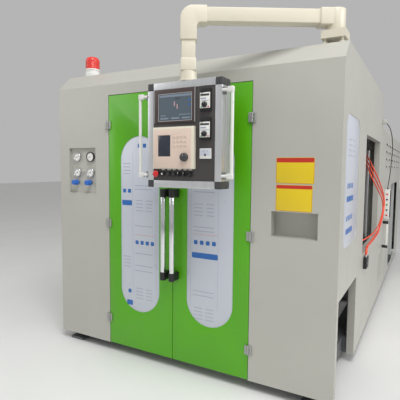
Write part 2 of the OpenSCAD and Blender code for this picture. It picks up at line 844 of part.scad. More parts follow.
// Fixed half of a hinge: plate, outer knuckles and pin
module fixed_leaf() {
    third = hinge_h / 3;
    translate([-hinge_w / 2, 0, 0]) cube([hinge_w / 2 - barrel_d / 2 - 1, hinge_y, hinge_h]);
    for (z = [0, 2 * third]) {
        translate([-hinge_w / 2, 0, z]) cube([hinge_w / 2, hinge_y, third]);
        translate([0, 0, z]) cylinder(d = barrel_d, h = third);
    }
    cylinder(d = pin_d, h = hinge_h);
}

// Distance of a hinge's axis in front of the doors
hinge_y = barrel_d / 2 + 2;

// Places a hinge half, drawn from its axis, at each height of one side
module at_hinges() {
    for (z = hinge_z) translate([0, -hinge_y, z - hinge_h / 2]) children();
}

// Fixed hinge halves on both sides of the doorway
module door_hinges() color("slategray") placed() {
    translate([left_panel_w, 0, 0]) at_hinges() fixed_leaf();
    translate([door_right, 0, 0]) mirror([1, 0, 0]) at_hinges() fixed_leaf();
}

module left_door() color("yellowgreen") placed() {
    translate([left_panel_w, 0, 0]) {
        door_leaf();
        at_hinges() moving_leaf();
    }
}

module left_door_window() color("azure") placed() {
    translate([left_panel_w, 0, 0]) door_pane();
}

module left_door_handle() color("silver") placed() {
    translate([left_panel_w, 0, 0]) door_handle();
}

module right_door() color("yellowgreen") placed() {
    translate([door_right, 0, 0]) mirror([1, 0, 0]) {
        door_leaf();
        at_hinges() moving_leaf();
    }
}

module right_door_window() color("azure") placed() {
    translate([door_right, 0, 0]) mirror([1, 0, 0]) door_pane();
}

module right_door_handle() color("silver") placed() {
    translate([door_right, 0, 0]) mirror([1, 0, 0]) door_handle();
}

// Places of the gauges in the recess, as x and z
gauge_at = [for (x = [83, 228], z = [169, 296]) [recess_x + x, recess_z + z]];
regulator_at = [for (x = [83, 226]) [recess_x + x, recess_z + 87]];
fitting_at = [[recess_x + 151, recess_z + 176], [recess_x + 159, recess_z + 92]];
valve_d = 34;
valve_t = 14;

// Pressure gauges, regulator bodies with their spindles, and pipe fittings
module pressure_gauges() color("lightgray") placed() {
    for (at = gauge_at) translate([at.x, recess_d, at.y]) rotate([90, 0, 0]) rotate_extrude() polygon([
        [0, 0], [gauge_d / 2 - 3, 0], [gauge_d / 2 - 3, gauge_t - 6], [gauge_d / 2, gauge_t - 5],
        [gauge_d / 2, gauge_t - 1], [gauge_d / 2 - 1, gauge_t], [gauge_d / 2 - 5, gauge_t],
        [gauge_d / 2 - 6, gauge_t - 4], [0, gauge_t - 4]
    ]);
    for (at = regulator_at) translate([at.x, recess_d, at.y]) rotate([90, 0, 0]) {
        cylinder(d = valve_d, h = valve_t);
        cylinder(r = spindle_r, h = valve_t + regulator_len / 2);
    }
    for (at = fitting_at) translate([at.x, recess_d, at.y]) rotate([90, 0, 0]) {
        cylinder(d = 16, h = 8, $fn = 6);
        cylinder(d = 10, h = 16);
    }
}

// Fluted knob that turns on a spindle, drawn along z from its back
module fluted_knob(d, length, depth) {
    difference() {
        rotate_extrude() polygon([
            [0, 0], [d / 2 - 2, 0], [d / 2, 2], [d / 2, length * 0.6], [d / 2 - 3, length - 2],
            [d / 2 - 5, length], [0, length]
        ]);
        for (a = [0:30:330]) rotate(a) translate([d / 2 + 2, 0, -proud]) cylinder(r = 4, h = length * 0.7);
        translate([0, 0, -proud]) cylinder(r = spindle_r + run_gap, h = depth + proud);
    }
}

// Regulator knob on the spindle of a valve body
module regulator_knob(at) {
    translate([at.x, recess_d - valve_t - seat_gap, at.y]) rotate([90, 0, 0])
        fluted_knob(regulator_d, regulator_len, regulator_len / 2 + 1);
}

module left_regulator_knob() color("royalblue") placed() {
    regulator_knob(regulator_at[0]);
}

module right_regulator_knob() color("royalblue") placed() {
    regulator_knob(regulator_at[1]);
}

// Distance of the warning lamp from the left and from the front
lamp_at = [190, 200];

// Base of the warning lamp on the roof
module lamp_base() color("gainsboro") placed() {
    translate([lamp_at.x, lamp_at.y, tall_h]) rotate_extrude() polygon([
        [0, 0], [lamp_d / 2, 0], [lamp_d / 2, lamp_base_h * 0.5], [lamp_d / 2 - 4, lamp_base_h * 0.55],
        [lamp_d / 2 - 4, lamp_base_h * 0.8], [lamp_d / 2, lamp_base_h * 0.85],
        [lamp_d / 2, lamp_base_h], [0, lamp_base_h]
    ]);
}

// Domed lens of the warning lamp
module lamp_dome() color("red") placed() {
    r = lamp_d / 2 - 4;
    round_r = r * 0.6;
    translate([lamp_at.x, lamp_at.y, tall_h + lamp_base_h]) rotate_extrude() polygon(concat(
        [[0, 0], [r, 0]],
        arc([r - round_r, lamp_dome_h - round_r], round_r, 0, 90, 8),
        [[0, lamp_dome_h]]
    ));
}

// Button box with its lamps and the pull bar below it, on the rear section's right side
module side_controls() color("whitesmoke") placed() {
    y = tall_len + box_in;
    pull_y = y - 57;
    pull_x = body_w + box_out - pull_d / 2 - 1;
    bracket = pull_d + 4;
    block([body_w, y, box_z], [body_w + box_out, y + box_len, box_z + box_h]);
    for (i = [0:4]) rod_y([body_w + box_out / 2, y - 8, box_z + 45 + i * 62], 24, 8);
    translate([pull_x, pull_y, pull_z]) cylinder(d = pull_d, h = pull_len);
    for (z = [pull_z, pull_z + pull_len - bracket])
        block([body_w, pull_y - bracket / 2, z], [pull_x + bracket / 2, pull_y + bracket / 2, z + bracket]);
    translate([body_w + hose_end(cable_route).x, hose_end(cable_route).y, box_z + box_h])
        cylinder(d = 2 * cable_d, h = hose_end(cable_route).z - box_z - box_h);
}

// Last point of a route
function hose_end(route) = route[len(route) - 1];

// Port block under the hose opening, stub on its lower fold, inner manifold and cable gland
module wall_fittings() color("black") placed() {
    ends = [hose_end(hose_1_route), hose_end(hose_2_route)];
    inner = [hose_1_route[0], hose_2_route[0], hose_3_route[0]];
    stub = hose_end(hose_3_route);
    gland = cable_route[0];
    stub_h = 15;
    block_top = ends[0].z - stub_h;
    block([body_w, ends[1].y - 40, block_top - 95], [body_w + 28, ends[0].y + 30, block_top]);
    for (p = ends) translate([body_w + p.x, p.y, block_top]) cylinder(d = hose_d + 8, h = stub_h);
    translate([body_w + stub.x, stub.y, hatch_z]) cylinder(d = hose_d + 8, h = stub.z - hatch_z);
    manifold = [body_w + inner[0].x - 30, inner[0].y];
    block([manifold.x, manifold.y, rail_top], [manifold.x + 60, manifold.y + 60, inner[0].z + 40]);
    block([body_w, gland.y - 55, gland.z - 22], [body_w + gland.x + 16, gland.y - 15, gland.z + 22]);
    rod_y([body_w + gland.x, gland.y - 15, gland.z], 2 * cable_d, 15);
}

module hose_1() color("orangered") placed() {
    tube(hose_1_route, hose_d);
}

module hose_2() color("orangered") placed() {
    tube(hose_2_route, hose_d);
}

module hose_3() color("orangered") placed() {
    tube(hose_3_route, hose_d);
}

module signal_cable() color("black") placed() {
    tube(cable_route, cable_d);
}

// Places a piece at the turning axis of the arm's column
module at_column() {
    translate([column_x, column_y, 0]) children();
}

// Places a piece at the turning axis of the pendant
module hung() {
    translate([pendant_x, -pendant_out, 0]) children();
}

// Base flange on its four studs, with the bearing pin of the arm
module arm_base() color("ivory") placed() at_column() {
    stud_in = flange_w / 2 - 22;
    translate([-flange_w / 2, -flange_w / 2, tall_h + stud_h]) cube([flange_w, flange_w, flange_t]);
    for (x = [-stud_in, stud_in], y = [-stud_in, stud_in]) translate([x, y, tall_h]) {
        cylinder(d = 16, h = stud_h + 1);
        cylinder(d = 30, h = 12, $fn = 6);
    }
    translate([0, 0, flange_top - 1]) cylinder(d = spindle_d, h = arm_top - 30 - flange_top);
}

// Hollow arm with its hub, sockets, mitred elbow, drop tube and bearing pin
module swing_arm() color("ivory") placed() at_column() rotate(arm_turn) {
    half = socket_w / 2;
    mitre = 38;
    difference() {
        union() {
            translate([0, 0, flange_top + seat_gap])
                cylinder(d = column_d, h = arm_top - flange_top - seat_gap);
            translate([0, -half, arm_mid - half]) cube([column_d / 2 + 50, socket_w, socket_w]);
        }
        translate([0, 0, flange_top - proud])
            cylinder(d = spindle_d + 2 * run_gap, h = arm_top - 28 - flange_top);
    }
    difference() {
        translate([column_d / 2 + 40, -arm_w / 2, arm_mid - arm_w / 2])
            cube([arm_len - column_d / 2 - half - 45, arm_w, arm_w]);
        translate([column_d / 2 + 50, -arm_w / 2 + arm_t, arm_mid - arm_w / 2 + arm_t])
            cube([arm_len - column_d / 2 - half - 75, arm_w - 2 * arm_t, arm_w - 2 * arm_t]);
    }
    translate([0, half, 0]) rotate([90, 0, 0]) linear_extrude(socket_w) polygon([
        [arm_len - half - 60, arm_mid - half], [arm_len - half - 60, arm_mid + half],
        [arm_len + half - mitre, arm_mid + half], [arm_len + half, arm_mid + half - mitre],
        [arm_len + half, arm_top - elbow_drop], [arm_len - half, arm_top - elbow_drop],
        [arm_len - half, arm_mid - half]
    ]);
    translate([arm_len, 0, 0]) {
        translate([-arm_w / 2, -arm_w / 2, ring_top + coupling_h])
            cube([arm_w, arm_w, arm_top - elbow_drop - ring_top - coupling_h]);
        translate([-coupling_w / 2, -coupling_w / 2, ring_top + seat_gap])
            cube([coupling_w, coupling_w, coupling_h - seat_gap]);
        translate([0, 0, ring_top - ring_h / 2]) cylinder(d = spindle_d, h = ring_h / 2 + proud);
    }
}

// Ring on top of the pendant that turns on the arm's lower pin
module pendant_coupling() color("ivory") placed() hung() {
    translate([0, 0, pendant_top]) difference() {
        rotate_extrude() polygon([
            [0, 0], [ring_d / 2 + 12, 0], [ring_d / 2 + 12, 8], [ring_d / 2, 12],
            [ring_d / 2, ring_h - 3], [ring_d / 2 - 3, ring_h], [0, ring_h]
        ]);
        translate([0, 0, ring_h / 2 - 1]) cylinder(d = spindle_d + 2 * run_gap, h = ring_h);
    }
}

// Places a piece at a distance from the pendant's left edge and below its top
module on_face(at) {
    translate([at.x - pendant_w / 2, face_y, pendant_top - at.y]) children();
}

// Frame of four extruded profiles with grooved outer sides
module pendant_frame() color("silver") placed() hung() {
    back = pendant_d - pendant_fore;
    half = pendant_w / 2;
    cap = profile_w;
    groove = 8;
    difference() {
        block([-half, -pendant_fore, pendant_z], [half, back, pendant_top]);
        block([profile_w - half, -pendant_fore - proud, pendant_z + profile_w],
            [half - profile_w, back + proud, pendant_top - profile_w]);
        // The corners belong to the corner pieces
        for (x = [-half - proud, half - cap], z = [pendant_z - proud, pendant_top - cap])
            block([x, -pendant_fore - proud, z], [x + cap + proud, back + proud, z + cap + proud]);
        for (x = [-half - proud, half - groove], y = [back - 40])
            block([x, y, pendant_z + cap - proud], [x + groove + proud, y + 12, pendant_top - cap + proud]);
    }
}

// Rear pan of the housing with the four corner pieces of the frame
module pendant_back() color("dimgray") placed() hung() {
    back = pendant_d - pendant_fore;
    half = pendant_w / 2;
    for (a = [0, 1], b = [0, 1]) translate([0, back, (pendant_z + pendant_top) / 2])
        mirror([a, 0, 0]) mirror([0, 0, b]) translate([half - profile_w, 0, pendant_h / 2 - profile_w])
            rotate([90, 0, 0]) linear_extrude(pendant_d) polygon(concat(
                [[0, 0], [profile_w, 0]],
                arc([profile_w - corner_r, profile_w - corner_r], corner_r, 0, 90, 6),
                [[0, profile_w]]
            ));
    block([profile_w - half, back - plate_t, pendant_z + profile_w],
        [half - profile_w, back, pendant_top - profile_w]);
    // Shallow ribs that stiffen the pan
    for (x = [-1, 1]) block([x * half / 3 - 15, back - plate_t - 10, pendant_z + profile_w],
        [x * half / 3 + 15, back - plate_t, pendant_top - profile_w]);
}

// Face plate with the collars of the buttons, the lamp and their bores
module pendant_face() color("darkslategray") placed() hung() {
    bores = concat([[stop_x, row_z]], [for (x = concat(button_x, selector_x)) [x, row_z]]);
    difference() {
        union() {
            block([profile_w - pendant_w / 2, face_y, pendant_z + profile_w],
                [pendant_w / 2 - profile_w, face_y + plate_t + 16, pendant_top - profile_w]);
            for (at = bores) on_face(at) rotate([90, 0, 0]) cylinder(d = button_d + 6, h = collar_h);
            on_face([lamp_x, row_z]) rotate([90, 0, 0]) {
                cylinder(d = button_d + 6, h = collar_h);
                cylinder(d = button_d - 6, h = collar_h + 8);
            }
        }
        for (at = bores) on_face(at) translate([0, 26, 0]) rotate([90, 0, 0])
            cylinder(r = spindle_r + run_gap, h = 40);
    }
}

// Tubular handles on grey blocks at both sides of the pendant
module pendant_handles() color("whitesmoke") placed() hung() {
    grip_y = 5 - pendant_fore;
    low = pendant_z + (pendant_h - grip_len) / 2;
    for (side = [0, 1]) mirror([side, 0, 0]) translate([pendant_w / 2, 0, 0]) {
        translate([grip_out, grip_y, low]) cylinder(d = grip_d, h = grip_len);
        for (z = [low, low + grip_len - grip_d]) {
            rod_x([0, grip_y, z + grip_d / 2], grip_d - 2, grip_out);
            block([0, grip_y - 5, z - 8], [14, grip_y + 30, z + grip_d + 8]);
        }
    }
}

// Touch screen in its raised bezel
module touch_screen() color("lightsteelblue") placed() hung() {
    rim = [35, 29];
    screen = [237, 162];
    on_face([hmi_at.x, hmi_at.y + hmi_h]) difference() {
        translate([0, -8, 0]) cube([hmi_w, 8, hmi_h]);
        translate([rim.x, -8 - proud, hmi_h - rim.y - screen.y]) cube([screen.x, proud + 2, screen.y]);
    }
}

// Parison controller with its display window, keypad and the dial's spindle
module parison_controller() color("wheat") placed() hung() {
    dial = dial_at - pwdc_at;
    on_face([pwdc_at.x, pwdc_at.y + pwdc_h]) {
        difference() {
            translate([0, -pwdc_out, 0]) cube([pwdc_w, pwdc_out, pwdc_h]);
            translate([37, -pwdc_out - proud, pwdc_h - 177]) cube([89, proud + 3, 129]);
        }
        translate([dial.x, -pwdc_out, pwdc_h - dial.y]) rotate([90, 0, 0]) cylinder(r = spindle_r, h = 16);
        for (x = [0:3], z = [0:2]) translate([146 + x * 24, -pwdc_out - 2, pwdc_h - 70 - z * 24])
            cube([18, 2, 16]);
    }
}

module controller_knob() color("dimgray") placed() hung() {
    on_face(dial_at) translate([0, -pwdc_out - seat_gap, 0]) rotate([90, 0, 0]) fluted_knob(dial_d, 24, 17);
}

// Mushroom button with its stem
module emergency_stop() color("red") placed() hung() {
    on_face([stop_x, row_z]) translate([0, 20, 0]) rotate([90, 0, 0]) rotate_extrude() polygon([
        [0, 0], [spindle_r, 0], [spindle_r, 20 + collar_h + 6], [stop_d / 2 - 4, 20 + collar_h + 6],
        [stop_d / 2, 20 + collar_h + 10], [stop_d / 2, 20 + collar_h + 14],
        [stop_d / 2 - 6, 20 + collar_h + 19], [0, 20 + collar_h + 21]
    ]);
}

// Round button cap with its stem
module push_button(x) {
    on_face([x, row_z]) translate([0, 20, 0]) rotate([90, 0, 0]) rotate_extrude() polygon([
        [0, 0], [spindle_r, 0], [spindle_r, 20 + collar_h + 4], [button_d / 2, 20 + collar_h + 4],
        [button_d / 2, 20 + collar_h + 9], [button_d / 2 - 2, 20 + collar_h + 11],
        [0, 20 + collar_h + 11]
    ]);
}

module push_button_1() color("black") placed() hung() {
    push_button(button_x[0]);
}

module push_button_2() color("black") placed() hung() {
    push_button(button_x[1]);
}

module push_button_3() color("black") placed() hung() {
    push_button(button_x[2]);
}

// Selector with a raised grip across it
module selector(x) {
    on_face([x, row_z]) {
        translate([0, 20, 0]) rotate([90, 0, 0]) cylinder(r = spindle_r, h = 20 + collar_h + 2);
        translate([0, -collar_h - seat_gap, 0]) rotate([90, 0, 0]) cylinder(d = button_d, h = 5);
        translate([-4, -collar_h - 17, -button_d / 2 + 1]) cube([8, 14, button_d - 2]);
    }
}

module selector_switch_1() color("black") placed() hung() {
    selector(selector_x[0]);
}

module selector_switch_2() color("black") placed() hung() {
    selector(selector_x[1]);
}

// Two speed units with their small fixed knobs and spindles, and a meter below them
module speed_units() color("gainsboro") placed() hung() {
    out = 18;
    for (z = speed_z) on_face([speed_x, z + speed_h]) {
        translate([0, -out, 0]) cube([speed_w, out, speed_h]);
        translate([speed_w / 2, -out, 34]) rotate([90, 0, 0]) cylinder(r = spindle_r, h = 12);
        translate([18, -out, speed_h - 20]) rotate([90, 0, 0]) cylinder(d = 14, h = 10);
    }
    on_face([speed_x + 1, 472]) difference() {
        translate([0, -12, 0]) cube([75, 12, 61]);
        translate([10, -13, 18]) cube([55, 3, 33]);
    }
}

// Speed knob on its unit
module speed_knob(z) {
    on_face([speed_x + speed_w / 2, z + speed_h - 34]) translate([0, -18 - seat_gap, 0]) rotate([90, 0, 0])
        fluted_knob(speed_knob_d, 18, 13);
}

module upper_speed_knob() color("black") placed() hung() {
    speed_knob(speed_z[0]);
}

module lower_speed_knob() color("black") placed() hung() {
    speed_knob(speed_z[1]);
}

// Places a piece at the middle of the clamp
module clamped() {
    translate([mid_x, clamp_y, 0]) children();
}

// Places of the tie bars, as y and z
tie_at = [for (y = [-1, 1], z = [-1, 1]) [y * tie_step_y / 2, clamp_z + z * tie_step_z / 2]];

// Upright plate of the clamp between two distances from its middle
module plate(from, to) {
    block([from, -platen_w / 2, clamp_z - platen_h / 2], [to, platen_w / 2, clamp_z + platen_h / 2]);
}

// End plates on their feet, tie bars with nuts, clamp cylinders and the base of the blow pin
module clamp_frame() color("steelblue") placed() clamped() {
    bore = rod_d + 2 * run_gap;
    for (side = [0, 1]) mirror([side, 0, 0]) {
        difference() {
            union() {
                plate(end_face, end_back);
                for (y = [-clamp_foot, clamp_foot])
                    block([end_face, y - cross_w / 2, rail_top],
                        [end_back, y + cross_w / 2, clamp_z - platen_h / 2]);
                rod_x([end_back, 0, clamp_z], cylinder_d + 50, 20);
                rod_x([end_back, 0, clamp_z], cylinder_d, cylinder_len);
            }
            rod_x([end_face - proud, 0, clamp_z], bore, end_t + cylinder_len - 15);
        }
        for (at = tie_at) rod_x([end_back, at.x, at.y], tie_d * 1.5, 25);
    }
    for (at = tie_at) rod_x([-end_back - 35, at.x, at.y], tie_d, 2 * end_back + 70);
    difference() {
        translate([0, 0, rail_top]) {
            cylinder(d = 130, h = 20);
            cylinder(d = 90, h = blow_base_top - rail_top);
        }
        translate([0, 0, blow_base_top - 260]) cylinder(d = blow_d + 2 * run_gap, h = 261);
    }
}

// Outline of half a bottle, neck down, as radius and height above the foot of the mould
function bottle_outline(neck_h = 45, shoulder_h = 60) = concat(
    [[0, -proud], [neck_r, -proud], [neck_r, neck_h - 20], [neck_r + 4, neck_h - 16],
        [neck_r + 4, neck_h - 8], [neck_r, neck_h - 4], [neck_r, neck_h]],
    [for (a = [18:18:90])
        [neck_r + (bottle_r - neck_r) * sin(a), neck_h + shoulder_h * (1 - cos(a))]],
    arc([bottle_r - 18, neck_h + shoulder_h + bottle_h], 18, 0, 90, 6),
    [[0, neck_h + shoulder_h + bottle_h + 12]]
);

// Platen with its rod and its half of the mould, for the right side of the clamp
module platen(pins) {
    pin_step = mould_w / 2 - 25;
    pin_rise = mould_h / 2 - 25;
    difference() {
        union() {
            plate(platen_face, platen_back);
            block([mould_face, -mould_w / 2, mould_foot], [platen_face, mould_w / 2, mould_top]);
            rod_x([platen_back, 0, clamp_z], rod_d, end_t + cylinder_len - 25);
            if (pins) for (y = [-1, 1], z = [-1, 1])
                rod_x([mould_face - 30, y * pin_step, clamp_z + z * pin_rise], 16, 31);
        }
        for (at = tie_at) rod_x([platen_face - proud, at.x, at.y], tie_d + 2 * run_gap, platen_t + 2 * proud);
        translate([mould_face, 0, mould_foot]) rotate_extrude() polygon(bottle_outline());
        // Bushes for the leader pins
        if (!pins) for (y = [-1, 1], z = [-1, 1])
            rod_x([mould_face - proud, y * pin_step, clamp_z + z * pin_rise], 16 + 4 * run_gap, 34);
        // Cooling channels down through the mould
        for (y = [-1, 1]) translate([mould_face + 92, y * mould_w / 4, mould_foot - proud])
            cylinder(d = 12, h = mould_h + 2 * proud);
    }
}

module left_platen() color("lightgray") placed() clamped() mirror([1, 0, 0]) platen(true);

module right_platen() color("lightgray") placed() clamped() platen(false);

// Blow pin with its stop collar, which rests on its base
module blow_pin() color("silver") placed() clamped() {
    translate([0, 0, blow_base_top - 130]) cylinder(d = blow_d, h = blow_top - blow_base_top + 120);
    translate([0, 0, blow_top - 10]) cylinder(d1 = blow_d, d2 = blow_d - 10, h = 10);
    translate([0, 0, blow_base_top + seat_gap]) cylinder(d = 44, h = 20);
}

// Die head on its hangers, with its nozzle, heater bands and the pipe from the barrel
module die_head() color("silver") placed() clamped() {
    low = barrel_z - 150;
    hanger_top = tall_h - skin_t - post_w;
    difference() {
        union() {
            translate([0, 0, low]) cylinder(d = head_d, h = head_h);
            for (z = [low + 25, low + head_h - 85]) translate([0, 0, z]) cylinder(d = head_d + 20, h = 60);
            translate([0, 0, low - 50]) cylinder(d1 = 110, d2 = 180, h = 50);
            translate([0, 0, low - 80]) cylinder(d = 90, h = 31);
            for (x = [-1, 1]) translate([x * head_d / 3, 0, low + head_h - 1])
                cylinder(d = 30, h = hanger_top - low - head_h + 1);
            rod_y([0, 0, barrel_z], 110, barrel_y - clamp_y);
        }
        // Ring-shaped gap from which the tube of plastic comes down
        translate([0, 0, low - 81]) difference() {
            cylinder(d = 56, h = 60);
            cylinder(d = 44, h = 60);
        }
    }
}

// Barrel with its heater bands and feed block, front stand, gearbox, motor and their stand
module extruder() color("silver") placed() translate([mid_x, 0, 0]) {
    bands = 6;
    step = (throat_y - feed_w / 2 - barrel_y - 90) / bands;
    gear_half = 200;
    rod_y([0, barrel_y, barrel_z], barrel_w, barrel_len);
    rod_y([0, barrel_y, barrel_z], heater_d + 20, 40);
    for (i = [0:bands - 1]) rod_y([0, barrel_y + 90 + i * step, barrel_z], heater_d, step - 50);
    block([-50, stand_y - cross_w / 2, rail_top], [50, stand_y + cross_w / 2, barrel_z - barrel_w / 4]);
    feed_top = barrel_z + 110;
    difference() {
        block([-feed_w / 2, throat_y - feed_w / 2, barrel_z - 110],
            [feed_w / 2, throat_y + feed_w / 2, feed_top]);
        translate([0, throat_y, barrel_z]) cylinder(d = 90, h = 111);
    }
    gear_from = throat_y + feed_w / 2;
    block([-gear_half, gear_from, barrel_z - 350], [gear_half, gear_from + 420, barrel_z + 130]);
    block([-gear_half, gear_y - cross_w / 2, rail_top], [gear_half, gear_y + cross_w / 2, barrel_z - 350]);
    rod_y([0, gear_from + 420, barrel_z - 130], 340, 30);
    difference() {
        rod_y([0, gear_from + 440, barrel_z - 130], 290, 480);
        for (a = [0:20:340]) translate([0, gear_from + 480, barrel_z - 130]) rotate([0, a, 0])
            translate([135, 0, -4]) cube([20, 380, 8]);
    }
}

// Funnel over the feed throat, standing above the rear roof, with the lid's hinge ears
module feed_hopper() color("lightgray") placed() translate([mid_x, throat_y, 0]) {
    low = barrel_z + 110;
    neck = 50;
    cone_z = rear_h + 40;
    wall_z = hopper_top - 200;
    r = hopper_d / 2;
    rotate_extrude() polygon([
        [neck - hopper_t, low], [neck + 25, low], [neck + 25, low + 12], [neck, low + 12], [neck, cone_z],
        [r, wall_z], [r, hopper_top - 6], [r + 10, hopper_top - 6], [r + 10, hopper_top],
        [r - hopper_t, hopper_top], [r - hopper_t, wall_z], [neck - hopper_t, cone_z]
    ]);
    for (x = [-60, 40]) translate([x, 0, 0]) ear(20);
    rod_x([-60, lid_y - throat_y, hopper_top + 8], 8, 120);
}

// Upright ear behind the hopper's rim, with its eye
module ear(w) {
    block([0, hopper_d / 2 + 3, hopper_top - 30], [w, lid_y - throat_y + 7, hopper_top + 8]);
    rod_x([0, lid_y - throat_y, hopper_top + 8], 14, w);
}

// Lid of the hopper with its knuckle and knob
module hopper_lid() color("gainsboro") placed() translate([mid_x, throat_y, hopper_top + seat_gap]) {
    knuckle = 8 - seat_gap;
    difference() {
        union() {
            cylinder(d = hopper_d - 10, h = 4);
            block([-30, 0, 0], [30, lid_y - throat_y - 9, 4]);
            rod_x([-38, lid_y - throat_y, knuckle], 16, 76);
            block([-30, lid_y - throat_y - 12, 0], [30, lid_y - throat_y, 4]);
        }
        rod_x([-40, lid_y - throat_y, knuckle], 8 + 2 * run_gap, 80);
    }
    translate([0, -hopper_d / 3, 4]) rotate_extrude()
        polygon([[0, 0], [8, 0], [8, 14], [18, 22], [14, 32], [0, 34]]);
}

// Oil tank with its pump, motor, accumulator and valve block
module hydraulic_unit() color("cornflowerblue") placed() {
    from = [mid_x + tank_in, gear_y - 0.55 * tank_w];
    to = from + [tank_len, tank_w];
    top = rail_top + tank_h;
    lid = top + tank_lip;
    block([from.x, from.y, rail_top], [to.x, to.y, top]);
    block([from.x + tank_lip, from.y - tank_lip, top], [to.x - tank_lip, to.y - tank_lip, lid]);
    translate([from.x + 0.8 * pump_motor_d, from.y + tank_w / 4, lid]) {
        cylinder(d = 0.85 * pump_motor_d, h = 3 * tank_lip);
        cylinder(d = pump_d, h = pump_len);
        translate([0, 0, pump_len]) cylinder(d = pump_motor_d, h = pump_motor_len);
        translate([0, 0, pump_len + pump_motor_len])
            cylinder(d1 = pump_motor_d, d2 = 0.8 * pump_motor_d, h = 3 * tank_lip);
    }
    translate([to.x - accumulator_d - 2 * tank_lip, from.y + tank_w / 5, lid]) {
        cylinder(d = accumulator_d, h = accumulator_len);
        translate([0, 0, accumulator_len])
            cylinder(d1 = accumulator_d, d2 = 0.4 * accumulator_d, h = accumulator_d / 3);
    }
    valves = [to.x - 5 * tank_lip - valve_block.x, from.y + 0.48 * tank_w, lid];
    translate(valves) {
        cube(valve_block);
        for (i = [0.5:3.5])
            rod_x([valve_block.x, i * valve_block.y / 4, valve_block.z / 2], valve_block.y / 8, 3 * tank_lip);
    }
}

base_frame();
cabinet_frame();
front_left_panel();
front_right_panel();
front_hood();
roof_panel();
left_wall();
right_front_wall();
right_middle_wall();
bulkhead();
rear_cover();
louvre_panel();
vent_grille();
side_window();
door_hinges();
pressure_gauges();
left_regulator_knob();
right_regulator_knob();
lamp_base();
lamp_dome();
left_door();
left_door_window();
left_door_handle();
right_door();
right_door_window();
right_door_handle();
side_controls();
wall_fittings();
hose_1();
hose_2();
hose_3();
signal_cable();
arm_base();
swing_arm();
pendant_coupling();
pendant_frame();
pendant_back();
pendant_face();
pendant_handles();
touch_screen();
parison_controller();
controller_knob();
emergency_stop();
push_button_1();
push_button_2();
push_button_3();
selector_switch_1();
selector_switch_2();
speed_units();
upper_speed_knob();
lower_speed_knob();
clamp_frame();
left_platen();
right_platen();
blow_pin();
die_head();
extruder();
feed_hopper();
hopper_lid();
hydraulic_unit();
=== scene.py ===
"""Looks, light and camera of a blow moulding machine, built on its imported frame.

Every length is in metres and every place is in the part's own frame: x to the right
seen from the front, y from the doors to the rear end, z up from the floor.
"""
from __future__ import annotations

import json
import logging
import math
from collections.abc import Callable, Sequence
from dataclasses import dataclass, field
from enum import Enum

import bpy
from mathutils import Euler, Matrix, Vector

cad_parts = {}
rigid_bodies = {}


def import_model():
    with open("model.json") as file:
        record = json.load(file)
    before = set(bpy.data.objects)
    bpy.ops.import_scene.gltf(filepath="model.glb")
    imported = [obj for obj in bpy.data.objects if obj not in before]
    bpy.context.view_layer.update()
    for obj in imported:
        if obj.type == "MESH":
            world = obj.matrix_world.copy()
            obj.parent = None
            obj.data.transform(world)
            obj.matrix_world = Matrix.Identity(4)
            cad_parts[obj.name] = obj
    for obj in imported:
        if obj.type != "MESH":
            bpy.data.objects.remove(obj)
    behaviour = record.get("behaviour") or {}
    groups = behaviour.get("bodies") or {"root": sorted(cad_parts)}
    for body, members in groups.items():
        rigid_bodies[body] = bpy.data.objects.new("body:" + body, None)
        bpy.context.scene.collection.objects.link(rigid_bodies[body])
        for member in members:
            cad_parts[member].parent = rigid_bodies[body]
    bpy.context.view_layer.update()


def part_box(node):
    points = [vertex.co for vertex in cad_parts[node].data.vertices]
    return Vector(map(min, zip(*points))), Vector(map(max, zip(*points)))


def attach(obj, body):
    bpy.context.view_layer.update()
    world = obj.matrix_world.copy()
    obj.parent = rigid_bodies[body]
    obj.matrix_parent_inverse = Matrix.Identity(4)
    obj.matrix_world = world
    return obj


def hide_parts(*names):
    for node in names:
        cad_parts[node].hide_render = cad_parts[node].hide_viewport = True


LOG = logging.getLogger("scene")
# Front of the doors and panels, and the outer face of the right wall.
FACE = -2.8
WALL = 1.150
# Smallest angle of an edge that stays sharp, in degrees.
SHARP = 32.0
# Radius of a spindle, and of the bore that turns on it.
SPINDLE_R = 0.0039
BORE_R = 0.0043
FLUTES = 12
COAT_ROUGHNESS = 0.15
ROUGHNESS_SPREAD = 0.07
# Waves to a metre and octaves of the drifting colour and the drifting roughness.
COLOUR_NOISE = (1.7, 5.0)
ROUGHNESS_NOISE = (6.0, 6.0)
RELIEF_OCTAVES = 3.0
# Depth of the fine relief, on a film and on anything else.
FILM_RELIEF = 0.004
FINE_RELIEF = 0.0008
Point = Sequence[float]
Span = tuple[float, float]
Colour = tuple[float, float, float]
Solid = bpy.types.Object


class Axis(Enum):
    """Direction in which a round piece points."""

    X = Euler((0.0, math.pi / 2, 0.0))
    FRONT = Euler((math.pi / 2, 0.0, 0.0))
    Z = Euler((0.0, 0.0, 0.0))


class Grain(Enum):
    """Kind of fine surface, with its number of waves to a metre."""

    PAINT = 260.0
    MOULDED = 900.0
    BRUSHED = 40.0
    RUBBER = 500.0
    FILM = 14.0


